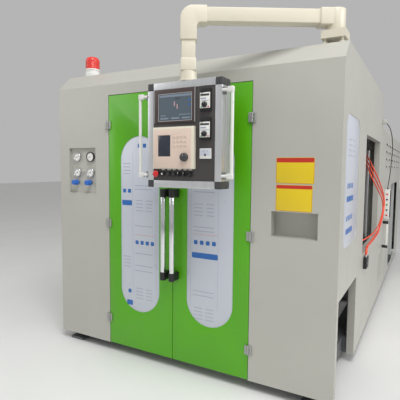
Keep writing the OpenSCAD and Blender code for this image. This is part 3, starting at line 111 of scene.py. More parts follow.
@dataclass(frozen=True)
class Finish:
    """Colour and surface of one material.

    Attributes:
        name: Name of the material.
        colour: Linear colour of the surface.
        roughness: Middle value of the roughness.
        metallic: Share of bare metal.
        grain: Kind of fine surface.
        coat: Weight of a clear coat.
        vary: How far the colour drifts over the surface.
        bump: Strength of the fine relief.
        glow: Strength at which the colour shines by itself.
    """

    name: str
    colour: Colour
    roughness: float = 0.5
    metallic: float = 0.0
    grain: Grain = Grain.PAINT
    coat: float = 0.0
    vary: float = 0.05
    bump: float = 0.05
    glow: float = 0.0

    def material(self) -> bpy.types.Material:
        """Builds the material, or finds it where it was built before.

        Returns:
            The material: a drifting colour, a drifting roughness and a fine relief.
        """
        made = bpy.data.materials.get(self.name)
        if made:
            return made
        made = bpy.data.materials.new(self.name)
        made.use_nodes = True
        tree = made.node_tree
        shader = tree.nodes["Principled BSDF"].inputs
        shader["Metallic"].default_value = self.metallic
        shader["Coat Weight"].default_value = self.coat
        shader["Coat Roughness"].default_value = COAT_ROUGHNESS
        if self.glow:
            shader["Emission Color"].default_value = (*self.colour, 1.0)
            shader["Emission Strength"].default_value = self.glow
        place = self._place(tree)

        ramp = tree.nodes.new("ShaderNodeValToRGB")
        for stop, at, way in zip(ramp.color_ramp.elements, (0.3, 0.7), (-1, 1)):
            stop.position = at
            stop.color = (*(min(1.0, c * (1 + way * self.vary)) for c in self.colour), 1.0)
        tree.links.new(self._noise(tree, place, *COLOUR_NOISE), ramp.inputs["Fac"])
        tree.links.new(ramp.outputs["Color"], shader["Base Color"])

        spread = tree.nodes.new("ShaderNodeMapRange")
        spread.inputs["To Min"].default_value = max(0.02, self.roughness - ROUGHNESS_SPREAD)
        spread.inputs["To Max"].default_value = min(1.0, self.roughness + ROUGHNESS_SPREAD)
        tree.links.new(self._noise(tree, place, *ROUGHNESS_NOISE), spread.inputs["Value"])
        tree.links.new(spread.outputs["Result"], shader["Roughness"])

        relief = tree.nodes.new("ShaderNodeBump")
        relief.inputs["Strength"].default_value = self.bump
        depth = FILM_RELIEF if self.grain is Grain.FILM else FINE_RELIEF
        relief.inputs["Distance"].default_value = depth
        waves = self._noise(tree, place, self.grain.value, RELIEF_OCTAVES)
        tree.links.new(waves, relief.inputs["Height"])
        tree.links.new(relief.outputs["Normal"], shader["Normal"])
        return made

    def _place(self, tree: bpy.types.NodeTree) -> bpy.types.NodeSocket:
        """Adds object coordinates, drawn out along z on a brushed surface.

        Args:
            tree: Node tree of the material.

        Returns:
            The socket that gives the place on the piece.
        """
        coords = tree.nodes.new("ShaderNodeTexCoord")
        if self.grain is not Grain.BRUSHED:
            return coords.outputs["Object"]
        mapping = tree.nodes.new("ShaderNodeMapping")
        mapping.inputs["Scale"].default_value = (30.0, 30.0, 0.6)
        tree.links.new(coords.outputs["Object"], mapping.inputs["Vector"])
        return mapping.outputs["Vector"]

    @staticmethod
    def _noise(
        tree: bpy.types.NodeTree, place: bpy.types.NodeSocket, scale: float, detail: float
    ) -> bpy.types.NodeSocket:
        """Adds noise over the surface.

        Args:
            tree: Node tree of the material.
            place: Socket with the place on the piece.
            scale: Number of waves to a metre.
            detail: Octaves of the noise.

        Returns:
            The socket with the noise, from 0 to 1.
        """
        noise = tree.nodes.new("ShaderNodeTexNoise")
        noise.inputs["Scale"].default_value = scale
        noise.inputs["Detail"].default_value = detail
        tree.links.new(place, noise.inputs["Vector"])
        return noise.outputs["Fac"]


def srgb(*screen: int) -> Colour:
    """Turns a screen colour into a linear one.

    Args:
        screen: Red, green and blue from 0 to 255.

    Returns:
        The linear colour.
    """
    return tuple(
        v / 12.92 if v <= 0.04045 else ((v + 0.055) / 1.055) ** 2.4
        for v in (part / 255 for part in screen)
    )


BODY_PAINT = Finish("warm_grey_paint", srgb(181, 180, 172), 0.42, coat=0.15, vary=0.035,
                    bump=0.08)
# Slightly darker copy of the warm grey paint, for the bulkhead: painted shade.
PAINTED_SHADE_GREY = Finish("shaded_grey_paint", srgb(176, 176, 170), 0.45, vary=0.05, bump=0.08)
GREEN_PAINT = Finish("leaf_green_paint", srgb(84, 168, 4), 0.38, coat=0.15, vary=0.05,
                     bump=0.07)
ARM_PAINT = Finish("cream_paint", srgb(211, 205, 187), 0.38, coat=0.2, vary=0.04, bump=0.08)
FRAME_PAINT = Finish("dark_frame_paint", srgb(92, 94, 96), 0.55, vary=0.12, bump=0.15)
PALE_FRAME = Finish("pale_frame_paint", srgb(188, 190, 188), 0.5, vary=0.06, bump=0.12)
BLUE_MACHINE = Finish("machine_blue_paint", srgb(60, 96, 132), 0.45, coat=0.2, vary=0.08,
                      bump=0.12)
WHITE_PAINT = Finish("white_paint", srgb(222, 222, 218), 0.4, coat=0.1, vary=0.03, bump=0.06)
CHROME = Finish("polished_chrome", (0.78, 0.79, 0.81), 0.12, 1.0, Grain.MOULDED, vary=0.02,
                bump=0.01)
STEEL = Finish("brushed_steel", (0.55, 0.55, 0.56), 0.32, 1.0, Grain.BRUSHED, vary=0.08,
               bump=0.12)
ALUMINIUM = Finish("satin_aluminium", (0.70, 0.71, 0.73), 0.34, 0.85, Grain.BRUSHED,
                   vary=0.04, bump=0.06)
MOULD_METAL = Finish("milled_aluminium", (0.62, 0.63, 0.64), 0.28, 1.0, Grain.BRUSHED,
                     vary=0.1, bump=0.2)
ZINC = Finish("grey_cast_zinc", srgb(128, 130, 132), 0.4, 0.6, Grain.PAINT, vary=0.08, bump=0.2)
HINGE_GREY = Finish("satin_grey_hinge", srgb(160, 161, 158), 0.36, 0.25, coat=0.1,
                    vary=0.06, bump=0.1)
BLACK = Finish("black_plastic", srgb(28, 28, 30), 0.45, grain=Grain.MOULDED, vary=0.15,
               bump=0.12)
DARK_GREY = Finish("dark_grey_plastic", srgb(64, 64, 66), 0.42, grain=Grain.MOULDED,
                   vary=0.1, bump=0.1)
CHARCOAL = Finish("charcoal_face", srgb(66, 62, 62), 0.5, vary=0.06, bump=0.1)
BEIGE = Finish("beige_plastic", srgb(220, 199, 184), 0.42, grain=Grain.MOULDED, coat=0.1,
               vary=0.03)
BEIGE_RIM = Finish("pale_beige_rim", srgb(222, 217, 198), 0.45, grain=Grain.MOULDED, vary=0.03)
BEZEL = Finish("bezel_brown", srgb(70, 58, 56), 0.38, grain=Grain.MOULDED, vary=0.06)
SCREEN = Finish("screen_glass", srgb(82, 94, 104), 0.16, grain=Grain.FILM, coat=0.25,
                vary=0.08, bump=0.0)
SCREEN_MARK = Finish("screen_marks", srgb(122, 136, 150), 0.3, grain=Grain.MOULDED,
                     vary=0.05, bump=0.0)
DISPLAY = Finish("display_glass", srgb(38, 42, 58), 0.1, grain=Grain.FILM, coat=0.6,
                 vary=0.1, bump=0.0)
DIAL_WHITE = Finish("dial_white", srgb(232, 232, 228), 0.5, grain=Grain.MOULDED, vary=0.02,
                    bump=0.0)
RED = Finish("signal_red", srgb(206, 32, 30), 0.3, grain=Grain.MOULDED, coat=0.4, vary=0.06)
RED_LENS = Finish("red_lens", srgb(200, 24, 26), 0.16, grain=Grain.MOULDED, coat=0.6,
                  vary=0.08, glow=0.05)
BLUE_KNOB = Finish("blue_plastic", srgb(46, 104, 190), 0.3, grain=Grain.MOULDED, coat=0.3,
                   vary=0.08)
YELLOW = Finish("plain_yellow", srgb(226, 196, 24), 0.4, coat=0.2, vary=0.04)
BAND_RED = Finish("plain_red_band", srgb(196, 44, 26), 0.4, coat=0.2, vary=0.04)
FILM = Finish("pale_film", srgb(197, 201, 212), 0.3, grain=Grain.FILM, coat=0.3, vary=0.03,
              bump=0.25)
FILM_BLUE = Finish("film_blue", srgb(42, 104, 178), 0.35, vary=0.06, bump=0.0)
FILM_GREY = Finish("film_grey", srgb(160, 166, 186), 0.35, vary=0.06, bump=0.0)
FILM_ROSE = Finish("film_rose", srgb(206, 160, 168), 0.35, vary=0.06, bump=0.0)
HOSE = Finish("orange_hose", srgb(238, 78, 44), 0.34, grain=Grain.RUBBER, coat=0.35,
              vary=0.1, bump=0.1)
CABLE = Finish("black_cable", srgb(30, 30, 32), 0.5, grain=Grain.RUBBER, vary=0.1, bump=0.15)
PALE_FLOOR = Finish("pale_floor", srgb(226, 226, 224), 0.75, vary=0.015, bump=0.02)
GREEN_LAMP = Finish("green_lamp", srgb(50, 150, 70), 0.25, grain=Grain.MOULDED, coat=0.4,
                    vary=0.08)


def active() -> Solid:
    """Returns the object that the last operator made."""
    return bpy.context.view_layer.objects.active


def clear() -> None:
    """Deselects everything."""
    bpy.ops.object.select_all(action="DESELECT")


def alone(obj: Solid) -> Solid:
    """Selects one object and nothing else.

    Args:
        obj: Object that becomes active.

    Returns:
        The same object.
    """
    clear()
    obj.select_set(True)
    bpy.context.view_layer.objects.active = obj
    return obj


def settle(obj: Solid) -> Solid:
    """Puts an object's place and turn into its mesh.

    Args:
        obj: Object to settle.

    Returns:
        The same object.
    """
    alone(obj)
    bpy.ops.object.transform_apply(location=True, rotation=True, scale=True)
    return obj


def bevel(obj: Solid, width: float, segments: int = 2) -> Solid:
    """Rounds the sharp edges and applies the rounding.

    Args:
        obj: Object with flat faces.
        width: Width of the rounding.
        segments: Number of faces across the rounding.

    Returns:
        The same object.
    """
    edge = obj.modifiers.new("Edge", "BEVEL")
    edge.width = width
    edge.segments = segments
    edge.limit_method = "ANGLE"
    edge.angle_limit = math.radians(SHARP)
    alone(obj)
    bpy.ops.object.modifier_apply(modifier="Edge")
    return obj


def smooth(obj: Solid, angle: float = SHARP) -> Solid:
    """Shades an object smooth except over its sharp edges.

    Args:
        obj: Object to shade.
        angle: Smallest angle of a sharp edge in degrees.

    Returns:
        The same object.
    """
    alone(obj)
    bpy.ops.object.shade_smooth_by_angle(angle=math.radians(angle))
    return obj


def cut(obj: Solid, *tools: Solid) -> Solid:
    """Takes other solids out of an object and deletes them.

    Args:
        obj: Object to cut.
        tools: Solids to take out.

    Returns:
        The same object.
    """
    for tool in tools:
        trim = obj.modifiers.new("Cut", "BOOLEAN")
        trim.operation = "DIFFERENCE"
        trim.solver = "EXACT"
        trim.object = tool
        alone(obj)
        bpy.ops.object.modifier_apply(modifier="Cut")
        alone(tool)
        bpy.ops.object.delete()
    return obj


def turn_about(obj: Solid, x: float, z: float, angle: float) -> Solid:
    """Turns a piece about a line from front to back.

    Args:
        obj: The piece.
        x: Place of the line.
        z: Height of the line.
        angle: Angle in degrees.

    Returns:
        The same piece.
    """
    centre = Matrix.Translation((x, 0.0, z))
    turn = Matrix.Rotation(-math.radians(angle), 4, "Y")
    obj.matrix_world = centre @ turn @ centre.inverted()
    return settle(obj)


def edited(obj: Solid, work: Callable[[], None]) -> Solid:
    """Runs steps in edit mode with everything selected.

    Args:
        obj: Object to edit.
        work: The steps.

    Returns:
        The same object.
    """
    alone(obj)
    bpy.ops.object.mode_set(mode="EDIT")
    bpy.ops.mesh.select_all(action="SELECT")
    work()
    bpy.ops.object.mode_set(mode="OBJECT")
    return obj


def box(low: Point, high: Point, round_off: float = 0.0, segments: int = 2) -> Solid:
    """Makes a block between two corners.

    Args:
        low: Corner with the smallest coordinates.
        high: Corner with the largest coordinates.
        round_off: Width of the rounding of its edges.
        segments: Number of faces across the rounding.

    Returns:
        The block, unpainted.
    """
    a, b = Vector(low), Vector(high)
    clear()
    bpy.ops.mesh.primitive_cube_add(size=1.0, location=(a + b) / 2)
    made = active()
    made.scale = b - a
    settle(made)
    return smooth(bevel(made, round_off, segments)) if round_off else made


def rod(
    centre: Point, radius: float, length: float, axis: Axis = Axis.FRONT,
    round_off: float = 0.0, sides: int = 20,
) -> Solid:
    """Makes a round bar about its middle.

    Args:
        centre: Middle of the bar.
        radius: Radius of the bar.
        length: Length of the bar.
        axis: Direction of the bar.
        round_off: Width of the rounding of its ends.
        sides: Number of faces around it.

    Returns:
        The bar, unpainted.
    """
    clear()
    bpy.ops.mesh.primitive_cylinder_add(
        vertices=sides, radius=radius, depth=length, location=centre, rotation=axis.value
    )
    made = settle(active())
    return smooth(bevel(made, round_off) if round_off else made)


def turned(
    centre: Point, profile: Sequence[Span], axis: Axis = Axis.FRONT, sides: int = 28
) -> Solid:
    """Makes a turned body: a disc, drawn out and widened or narrowed step by step.

    Args:
        centre: Foot of the axis.
        profile: Pairs of radius and height along the axis, between the closed ends.
        axis: Direction of the axis.
        sides: Number of faces around it.

    Returns:
        The turned body, unpainted.
    """
    tiny = 1e-5
    steps = list(profile)
    if steps[-1][0]:
        steps.append((0.0, steps[-1][1]))
    radius, level = tiny, 0.0
    clear()
    bpy.ops.mesh.primitive_circle_add(vertices=sides, radius=radius, fill_type="NGON")
    made = settle(active())
    bpy.ops.object.mode_set(mode="EDIT")
    bpy.ops.mesh.select_all(action="SELECT")
    for wanted, height in steps:
        wanted = max(wanted, tiny)
        share = wanted / radius
        bpy.ops.mesh.extrude_region_move(
            TRANSFORM_OT_translate={"value": (0.0, 0.0, height - level)}
        )
        bpy.ops.transform.resize(value=(share, share, 1.0), center_override=(0.0, 0.0, height))
        radius, level = wanted, height
    bpy.ops.mesh.select_all(action="SELECT")
    bpy.ops.mesh.remove_doubles(threshold=3 * tiny)
    bpy.ops.mesh.normals_make_consistent(inside=False)
    bpy.ops.object.mode_set(mode="OBJECT")
    made.rotation_euler = axis.value
    made.location = centre
    return smooth(settle(made))


def plate(
    low: Point, high: Point, radius: float, round_off: float = 0.0, across: int = 1, steps: int = 8
) -> Solid:
    """Makes a sheet with rounded corners: a bevelled plane, drawn out to a thickness.

    Args:
        low: Corner with the smallest coordinates.
        high: Corner with the largest coordinates.
        radius: Radius of the four corners.
        round_off: Width of the rounding of the edges.
        across: Axis across the sheet, 0 for x and 1 for y.
        steps: Number of edges in a corner.

    Returns:
        The sheet, unpainted.
    """
    a, b = Vector(low), Vector(high)
    size, middle = b - a, (a + b) / 2
    middle[across] = a[across]
    step = [0.0, 0.0, 0.0]
    step[across] = size[across]
    clear()
    bpy.ops.mesh.primitive_plane_add(size=1.0)
    made = active()
    made.scale = (size.x, size.z, 1.0) if across else (size.z, size.y, 1.0)
    settle(made)
    edited(made, lambda: bpy.ops.mesh.bevel(
        offset=radius, offset_type="OFFSET", segments=steps, affect="VERTICES"
    ))
    made.rotation_euler = (Axis.FRONT if across else Axis.X).value
    made.location = middle
    settle(made)

    def draw_out() -> None:
        """Draws the flat shape out to its thickness."""
        bpy.ops.mesh.extrude_region_move(TRANSFORM_OT_translate={"value": step})
        bpy.ops.mesh.select_all(action="SELECT")
        bpy.ops.mesh.normals_make_consistent(inside=False)

    edited(made, draw_out)
    return smooth(bevel(made, round_off)) if round_off else made


def tube_along(
    name: str, line: Sequence[Point], radius: float, resolution: int, caps: bool
) -> Solid:
    """Makes a curve with a round section through close points.

    Args:
        name: Name of the curve.
        line: Its points.
        radius: Radius of the section.
        resolution: Fineness of the section.
        caps: Whether its ends are closed.

    Returns:
        The curve.
    """
    curve = bpy.data.curves.new(name, "CURVE")
    curve.dimensions = "3D"
    spline = curve.splines.new("POLY")
    spline.points.add(len(line) - 1)
    for point, place in zip(spline.points, line):
        point.co = (*place, 1.0)
    curve.bevel_depth = radius
    curve.bevel_resolution = resolution
    curve.use_fill_caps = caps
    made = bpy.data.objects.new(name, curve)
    bpy.context.collection.objects.link(made)
    return made


@dataclass
class Piece:
    """One visible piece, collected part by part.

    Attributes:
        name: Name of the piece.
        body: Body that it moves with.
        nodes: CAD nodes that it stands for.
        parts: Its parts, painted.
    """

    name: str
    body: str
    nodes: tuple[str, ...] = ()
    parts: list[Solid] = field(default_factory=list)

    def add(self, finish: Finish, *made: Solid) -> Piece:
        """Paints parts and collects them.

        Args:
            finish: The finish of all their faces.
            made: The parts.

        Returns:
            The piece itself.
        """
        for part in made:
            part.data.materials.clear()
            part.data.materials.append(finish.material())
            self.parts.append(part)
        return self

    def close(self, place: Point = (0.0, 0.0, 0.0), turn: float = 0.0) -> None:
        """Joins the parts under the piece's name and lets it move with its body.

        Args:
            place: Where the parts' origin goes.
            turn: Their turn about the vertical in radians.
        """
        clear()
        for part in self.parts:
            part.select_set(True)
        bpy.context.view_layer.objects.active = self.parts[0]
        if len(self.parts) > 1:
            bpy.ops.object.join()
        whole = active()
        whole.name = whole.data.name = self.name
        whole.location, whole.rotation_euler = place, (0.0, 0.0, turn)
        hand_over(settle(whole), self.body, *self.nodes)


def hand_over(obj: Solid, body: str, *nodes: str) -> None:
    """Lets a finished piece move with a body and stand for the named CAD nodes.

    Args:
        obj: The piece.
        body: Name of the body.
        nodes: CAD nodes that the piece replaces.
    """
    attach(obj, body)
    if nodes:
        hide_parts(*nodes)
    LOG.info("made %s on %s", obj.name, body)


def dress(finish: Finish, *nodes: str) -> None:
    """Gives CAD nodes that stay their finish.

    Args:
        finish: The finish of all their faces.
        nodes: Names of the nodes.
    """
    for obj in bpy.data.objects:
        if obj.type == "MESH" and obj.name.split(".")[0] in nodes:
            obj.data.materials.clear()
            obj.data.materials.append(finish.material())


@dataclass
class View:
    """Camera at the photograph's viewing angle, with lamps, floor and world.

    Attributes:
        eye: Place of the camera.
        pan: Turn about the vertical in degrees.
        tilt: Turn down from level in degrees.
        roll: Turn about the line of sight in degrees.
        lens: Focal length on the sensor.
        sensor: Width of the sensor in millimetres.
        sky: Strength of the light from all around.
        floor: Length of the floor's side.
        lamps: Name, place, aim, length of the side and power in watts of each lamp.
    """

    eye: Point = (1.5854, -5.2600, 1.4938)
    pan: float = 29.14
    tilt: float = 4.56
    roll: float = 0.51
    lens: float = 36.65
    sensor: float = 36.0
    sky: float = 0.46
    floor: float = 60.0
    lamps: tuple[tuple[str, Point, Point, float, float], ...] = (
        ("key_lamp", (2.2, -5.4, 7.0), (0.3, -2.3, 0.9), 3.0, 300.0),
        ("fill_lamp", (-6.0, -6.0, 4.0), (-0.4, -2.0, 1.2), 4.0, 80.0),
        ("side_lamp", (7.5, -2.6, 4.4), (1.1, -1.6, 1.0), 3.5, 230.0),
    )

    def camera(self) -> None:
        """Adds the camera and makes it the scene's."""
        turn = (
            Matrix.Rotation(math.radians(self.pan), 4, "Z")
            @ Matrix.Rotation(math.radians(90 - self.tilt), 4, "X")
            @ Matrix.Rotation(math.radians(self.roll), 4, "Z")
        )
        clear()
        bpy.ops.object.camera_add(location=self.eye, rotation=turn.to_euler())
        camera = active()
        camera.data.lens = self.lens
        camera.data.sensor_width = self.sensor
        camera.data.clip_end = 100.0
        bpy.context.scene.camera = camera

    def studio(self) -> None:
        """Adds the lamps, the pale world and the floor."""
        world = bpy.data.worlds.new("studio")
        bpy.context.scene.world = world
        world.use_nodes = True
        background = world.node_tree.nodes["Background"].inputs
        background["Color"].default_value = (1.0, 1.0, 1.0, 1.0)
        background["Strength"].default_value = self.sky
        for name, place, aim, size, power in self.lamps:
            look = (Vector(aim) - Vector(place)).to_track_quat("-Z", "Y").to_euler()
            clear()
            bpy.ops.object.light_add(type="AREA", location=place, rotation=look)
            lamp = active()
            lamp.name = name
            lamp.data.size = size
            lamp.data.energy = power
        clear()
        bpy.ops.mesh.primitive_plane_add(size=self.floor)
        ground = edited(settle(active()), lambda: bpy.ops.mesh.subdivide(number_cuts=4))
        ground.name = ground.data.name = "studio_floor"
        ground.data.materials.append(PALE_FLOOR.material())
        bpy.context.scene.view_settings.view_transform = "Standard"


@dataclass(frozen=True)
class Cord:
    """One hose or cable outside the right side, held at both ends.

    Attributes:
        node: CAD node that it replaces.
        diameter: Outer diameter.
        finish: Its surface.
        points: Points that it follows: distance outside the right side, distance behind
            the doors and height, in millimetres.
        steps: Number of points between two points of the course.
    """

    node: str
    diameter: float
    finish: Finish
    points: tuple[tuple[int, int, int], ...]
    steps: int = 8

    def course(self) -> list[Vector]:
        """Lays a smooth line through the points.

        Returns:
            Points that lie close together.
        """
        p = [Vector((WALL + x / 1000, FACE + y / 1000, z / 1000)) for x, y, z in self.points]
        line: list[Vector] = []
        for i in range(len(p) - 1):
            a, b, c, d = p[max(i - 1, 0)], p[i], p[i + 1], p[min(i + 2, len(p) - 1)]
            for k in range(self.steps):
                t = k / self.steps
                line.append(0.5 * (
                    2 * b + (c - a) * t + (2 * a - 5 * b + 4 * c - d) * t * t
                    + (3 * b - a - 3 * c + d) * t ** 3
                ))
        return [*line, p[-1]]

    def build(self) -> None:
        """Builds the cord as one open curve with a round section."""
        line = self.course()
        cord = tube_along(self.node + "_skin", line, self.diameter / 2, 5, True)
        cord.data.materials.append(self.finish.material())
        hand_over(cord, "frame", self.node)


CORDS = (
    Cord("hose_1", 0.012, HOSE, (
        (-110, 1900, 1640), (-110, 1878, 1640), (-107, 1840, 1635), (-90, 1784, 1621),
        (-71, 1729, 1604), (-52, 1677, 1581), (-33, 1625, 1557), (-9, 1591, 1514),
        (17, 1593, 1461), (34, 1630, 1418), (42, 1680, 1386), (51, 1727, 1348), (59, 1775, 1312),
        (66, 1821, 1275), (73, 1863, 1231), (78, 1883, 1176), (78, 1864, 1119), (75, 1828, 1071),
        (72, 1787, 1027), (68, 1743, 986), (63, 1696, 947), (59, 1646, 914), (53, 1590, 893),
        (47, 1531, 880), (40, 1472, 868), (33, 1413, 857), (26, 1356, 848), (20, 1312, 840),
        (16, 1274, 837), (15, 1243, 829), (14, 1220, 806), (14, 1212, 790), (14, 1212, 775)
    )),
    Cord("hose_2", 0.012, HOSE, (
        (-110, 1900, 1600), (-110, 1878, 1600), (-107, 1840, 1595), (-91, 1784, 1582),
        (-73, 1728, 1565), (-56, 1675, 1543), (-40, 1621, 1521), (-18, 1581, 1482),
        (8, 1575, 1429), (28, 1605, 1383), (38, 1656, 1351), (48, 1704, 1315), (58, 1752, 1281),
        (67, 1800, 1245), (75, 1841, 1202), (80, 1850, 1143), (79, 1822, 1090), (76, 1780, 1048),
        (72, 1733, 1009), (67, 1685, 974), (63, 1633, 943), (57, 1577, 923), (51, 1518, 910),
        (45, 1459, 897), (39, 1400, 887), (34, 1342, 877), (29, 1294, 867), (23, 1250, 858),
        (18, 1214, 852), (15, 1183, 844), (14, 1160, 821), (14, 1152, 798), (14, 1152, 775)
    )),
    Cord("hose_3", 0.012, HOSE, (
        (-110, 1900, 1560), (-110, 1878, 1560), (-107, 1840, 1555), (-92, 1783, 1542),
        (-75, 1727, 1526), (-59, 1673, 1505), (-45, 1618, 1484), (-27, 1571, 1452),
        (-2, 1554, 1401), (21, 1574, 1351), (34, 1622, 1317), (44, 1672, 1284), (54, 1721, 1251),
        (62, 1771, 1218), (69, 1809, 1173), (73, 1809, 1113), (72, 1773, 1066), (68, 1724, 1031),
        (64, 1673, 1000), (58, 1619, 973), (51, 1562, 954), (44, 1504, 939), (35, 1446, 926),
        (25, 1387, 915), (13, 1329, 907), (0, 1270, 900), (-14, 1216, 894), (-26, 1170, 889),
        (-31, 1132, 887), (-33, 1101, 879), (-34, 1078, 856), (-34, 1070, 840), (-34, 1070, 825)
    )),
    Cord("signal_cable", 0.009, CABLE, (
        (22, 2240, 1985), (22, 2262, 1985), (24, 2299, 1984), (30, 2357, 1977), (36, 2415, 1969),
        (42, 2473, 1960), (47, 2530, 1947), (50, 2587, 1932), (52, 2644, 1915), (54, 2698, 1894),
        (57, 2748, 1863), (59, 2789, 1821), (61, 2817, 1769), (62, 2828, 1712), (60, 2817, 1654),
        (58, 2800, 1598), (57, 2784, 1541), (55, 2766, 1485), (51, 2763, 1427), (44, 2783, 1372),
        (35, 2820, 1327), (30, 2840, 1295), (30, 2840, 1275)
    )),
)

HINGE_FEET = (0.2505, 1.0175, 1.7845)
HINGE_AXES = (-0.612, 0.593)


@dataclass
class Housing:
    """Sheets, frames and arm base in the CAD's shapes, with black strips of painted shade at the
    louvres.

    Attributes:
        looks: Finish of each group of CAD nodes.
        columns: Number of louvres side by side.
        rows: Number of louvres one above the other.
        first: Front end and foot of the first louvre.
        pitch: Distance between two columns and between two rows.
        length: Length of a louvre.
    """

    looks: tuple[tuple[Finish, tuple[str, ...]], ...] = (
        (BODY_PAINT, ("front_left_panel", "front_right_panel", "front_hood", "roof_panel",
                      "left_wall", "right_front_wall", "right_middle_wall", "rear_cover",
                      "louvre_panel", "vent_grille")),
        (FRAME_PAINT, ("base_frame",)),
        (PALE_FRAME, ("cabinet_frame",)),
        # The bulkhead gets the darker copy of the grey paint: painted shade.
        (PAINTED_SHADE_GREY, ("bulkhead",)),
        (ARM_PAINT, ("arm_base", "pendant_coupling")),
    )
    columns: int = 6
    rows: int = 4
    first: Span = (0.010, 1.517)
    pitch: Span = (0.434, 0.086)
    length: float = 0.280

    def gaps(self) -> None:
        """Builds black strips of painted shade under the louvres and at their front ends."""
        inside = WALL - 0.001
        piece = Piece("louvre_gaps", "frame")
        for column in range(self.columns):
            for row in range(self.rows):
                y = self.first[0] + self.pitch[0] * column
                z = self.first[1] + self.pitch[1] * row
                # Black strips under each louvre and at its front end: painted shade, not openings.
                piece.add(
                    BLACK,
                    box((inside, y + 0.002, z + 0.0004),
                        (WALL + 0.0107, y + self.length - 0.002, z + 0.008), 0.0003),
                    box((inside, y - 0.0006, z + 0.002),
                        (WALL + 0.0098, y + 0.0004, z + 0.016), 0.0002),
                )
        piece.close()

    def build(self) -> None:
        """Dresses the sheets and frames and builds the painted shade of the louvres."""
        for finish, nodes in self.looks:
            dress(finish, *nodes)
        self.gaps()


@dataclass
class Moulder:
    """Moulding machine inside the housing, in the CAD's shapes.

    Attributes:
        looks: Finish of each group of CAD nodes.
    """

    looks: tuple[tuple[Finish, tuple[str, ...]], ...] = (
        (FRAME_PAINT, ("hydraulic_unit",)),
        (BLUE_MACHINE, ("clamp_frame", "extruder")),
        (MOULD_METAL, ("left_platen", "right_platen")),
        (CHROME, ("blow_pin",)),
        (STEEL, ("die_head", "feed_hopper", "hopper_lid")),
    )

    def build(self) -> None:
        """Dresses the machine's parts."""
        for finish, nodes in self.looks:
            dress(finish, *nodes)


def mark(place: Point, size: Span, thick: float = 0.0002, across: int = 1) -> Solid:
    """Makes one printed field.

    Args:
        place: Middle of its side with the smaller coordinate.
        size: Its length and height.
        thick: Its thickness.
        across: Axis across it, 0 for x and 1 for y.

    Returns:
        The field, unpainted.
    """
    rounding = 0.2
    low, high = list(place), list(place)
    for axis, length in ((1 - across, size[0]), (2, size[1])):
        low[axis] -= length / 2
        high[axis] += length / 2
    high[across] += thick
    return plate(low, high, min(size) * rounding, across=across, steps=2)


@dataclass(frozen=True)
class Print:
    """Plain print on the film of a door's window.

    Attributes:
        shift: How far its columns stand to the right.
        lines: Heights of its ruled lines.
        blocks: Middle, height of the bar, number of fields above it, length of the bar.
        dashes: Middle, length and top of each stack of dashes.
    """

    shift: float
    lines: tuple[float, ...]
    blocks: tuple[tuple[float, float, int, float], ...]
    dashes: tuple[tuple[float, float, float], ...]


LEFT_PRINT = Print(
    0.083, (0.698, 0.739, 0.833, 1.046, 1.325, 1.353),
    ((-0.122, 1.219, 2, 0.096), (-0.098, 0.437, 1, 0.058), (0.045, 0.826, 4, 0.0),
     (0.045, 1.560, 3, 0.0)),
    ((-0.122, 0.070, 1.520), (-0.122, 0.070, 0.800), (-0.005, 0.070, 0.560),
     (0.087, 0.060, 0.560), (-0.005, 0.070, 1.240), (0.087, 0.060, 1.240)),
)
RIGHT_PRINT = Print(
    0.0, (0.591, 0.621, 1.051, 1.079, 1.325, 1.353),
    ((-0.038, 0.878, 4, 0.206), (-0.038, 1.578, 4, 0.206)),
    ((-0.088, 0.070, 0.500), (0.004, 0.060, 0.500), (-0.088, 0.070, 1.240),
     (0.004, 0.060, 1.240)),
)


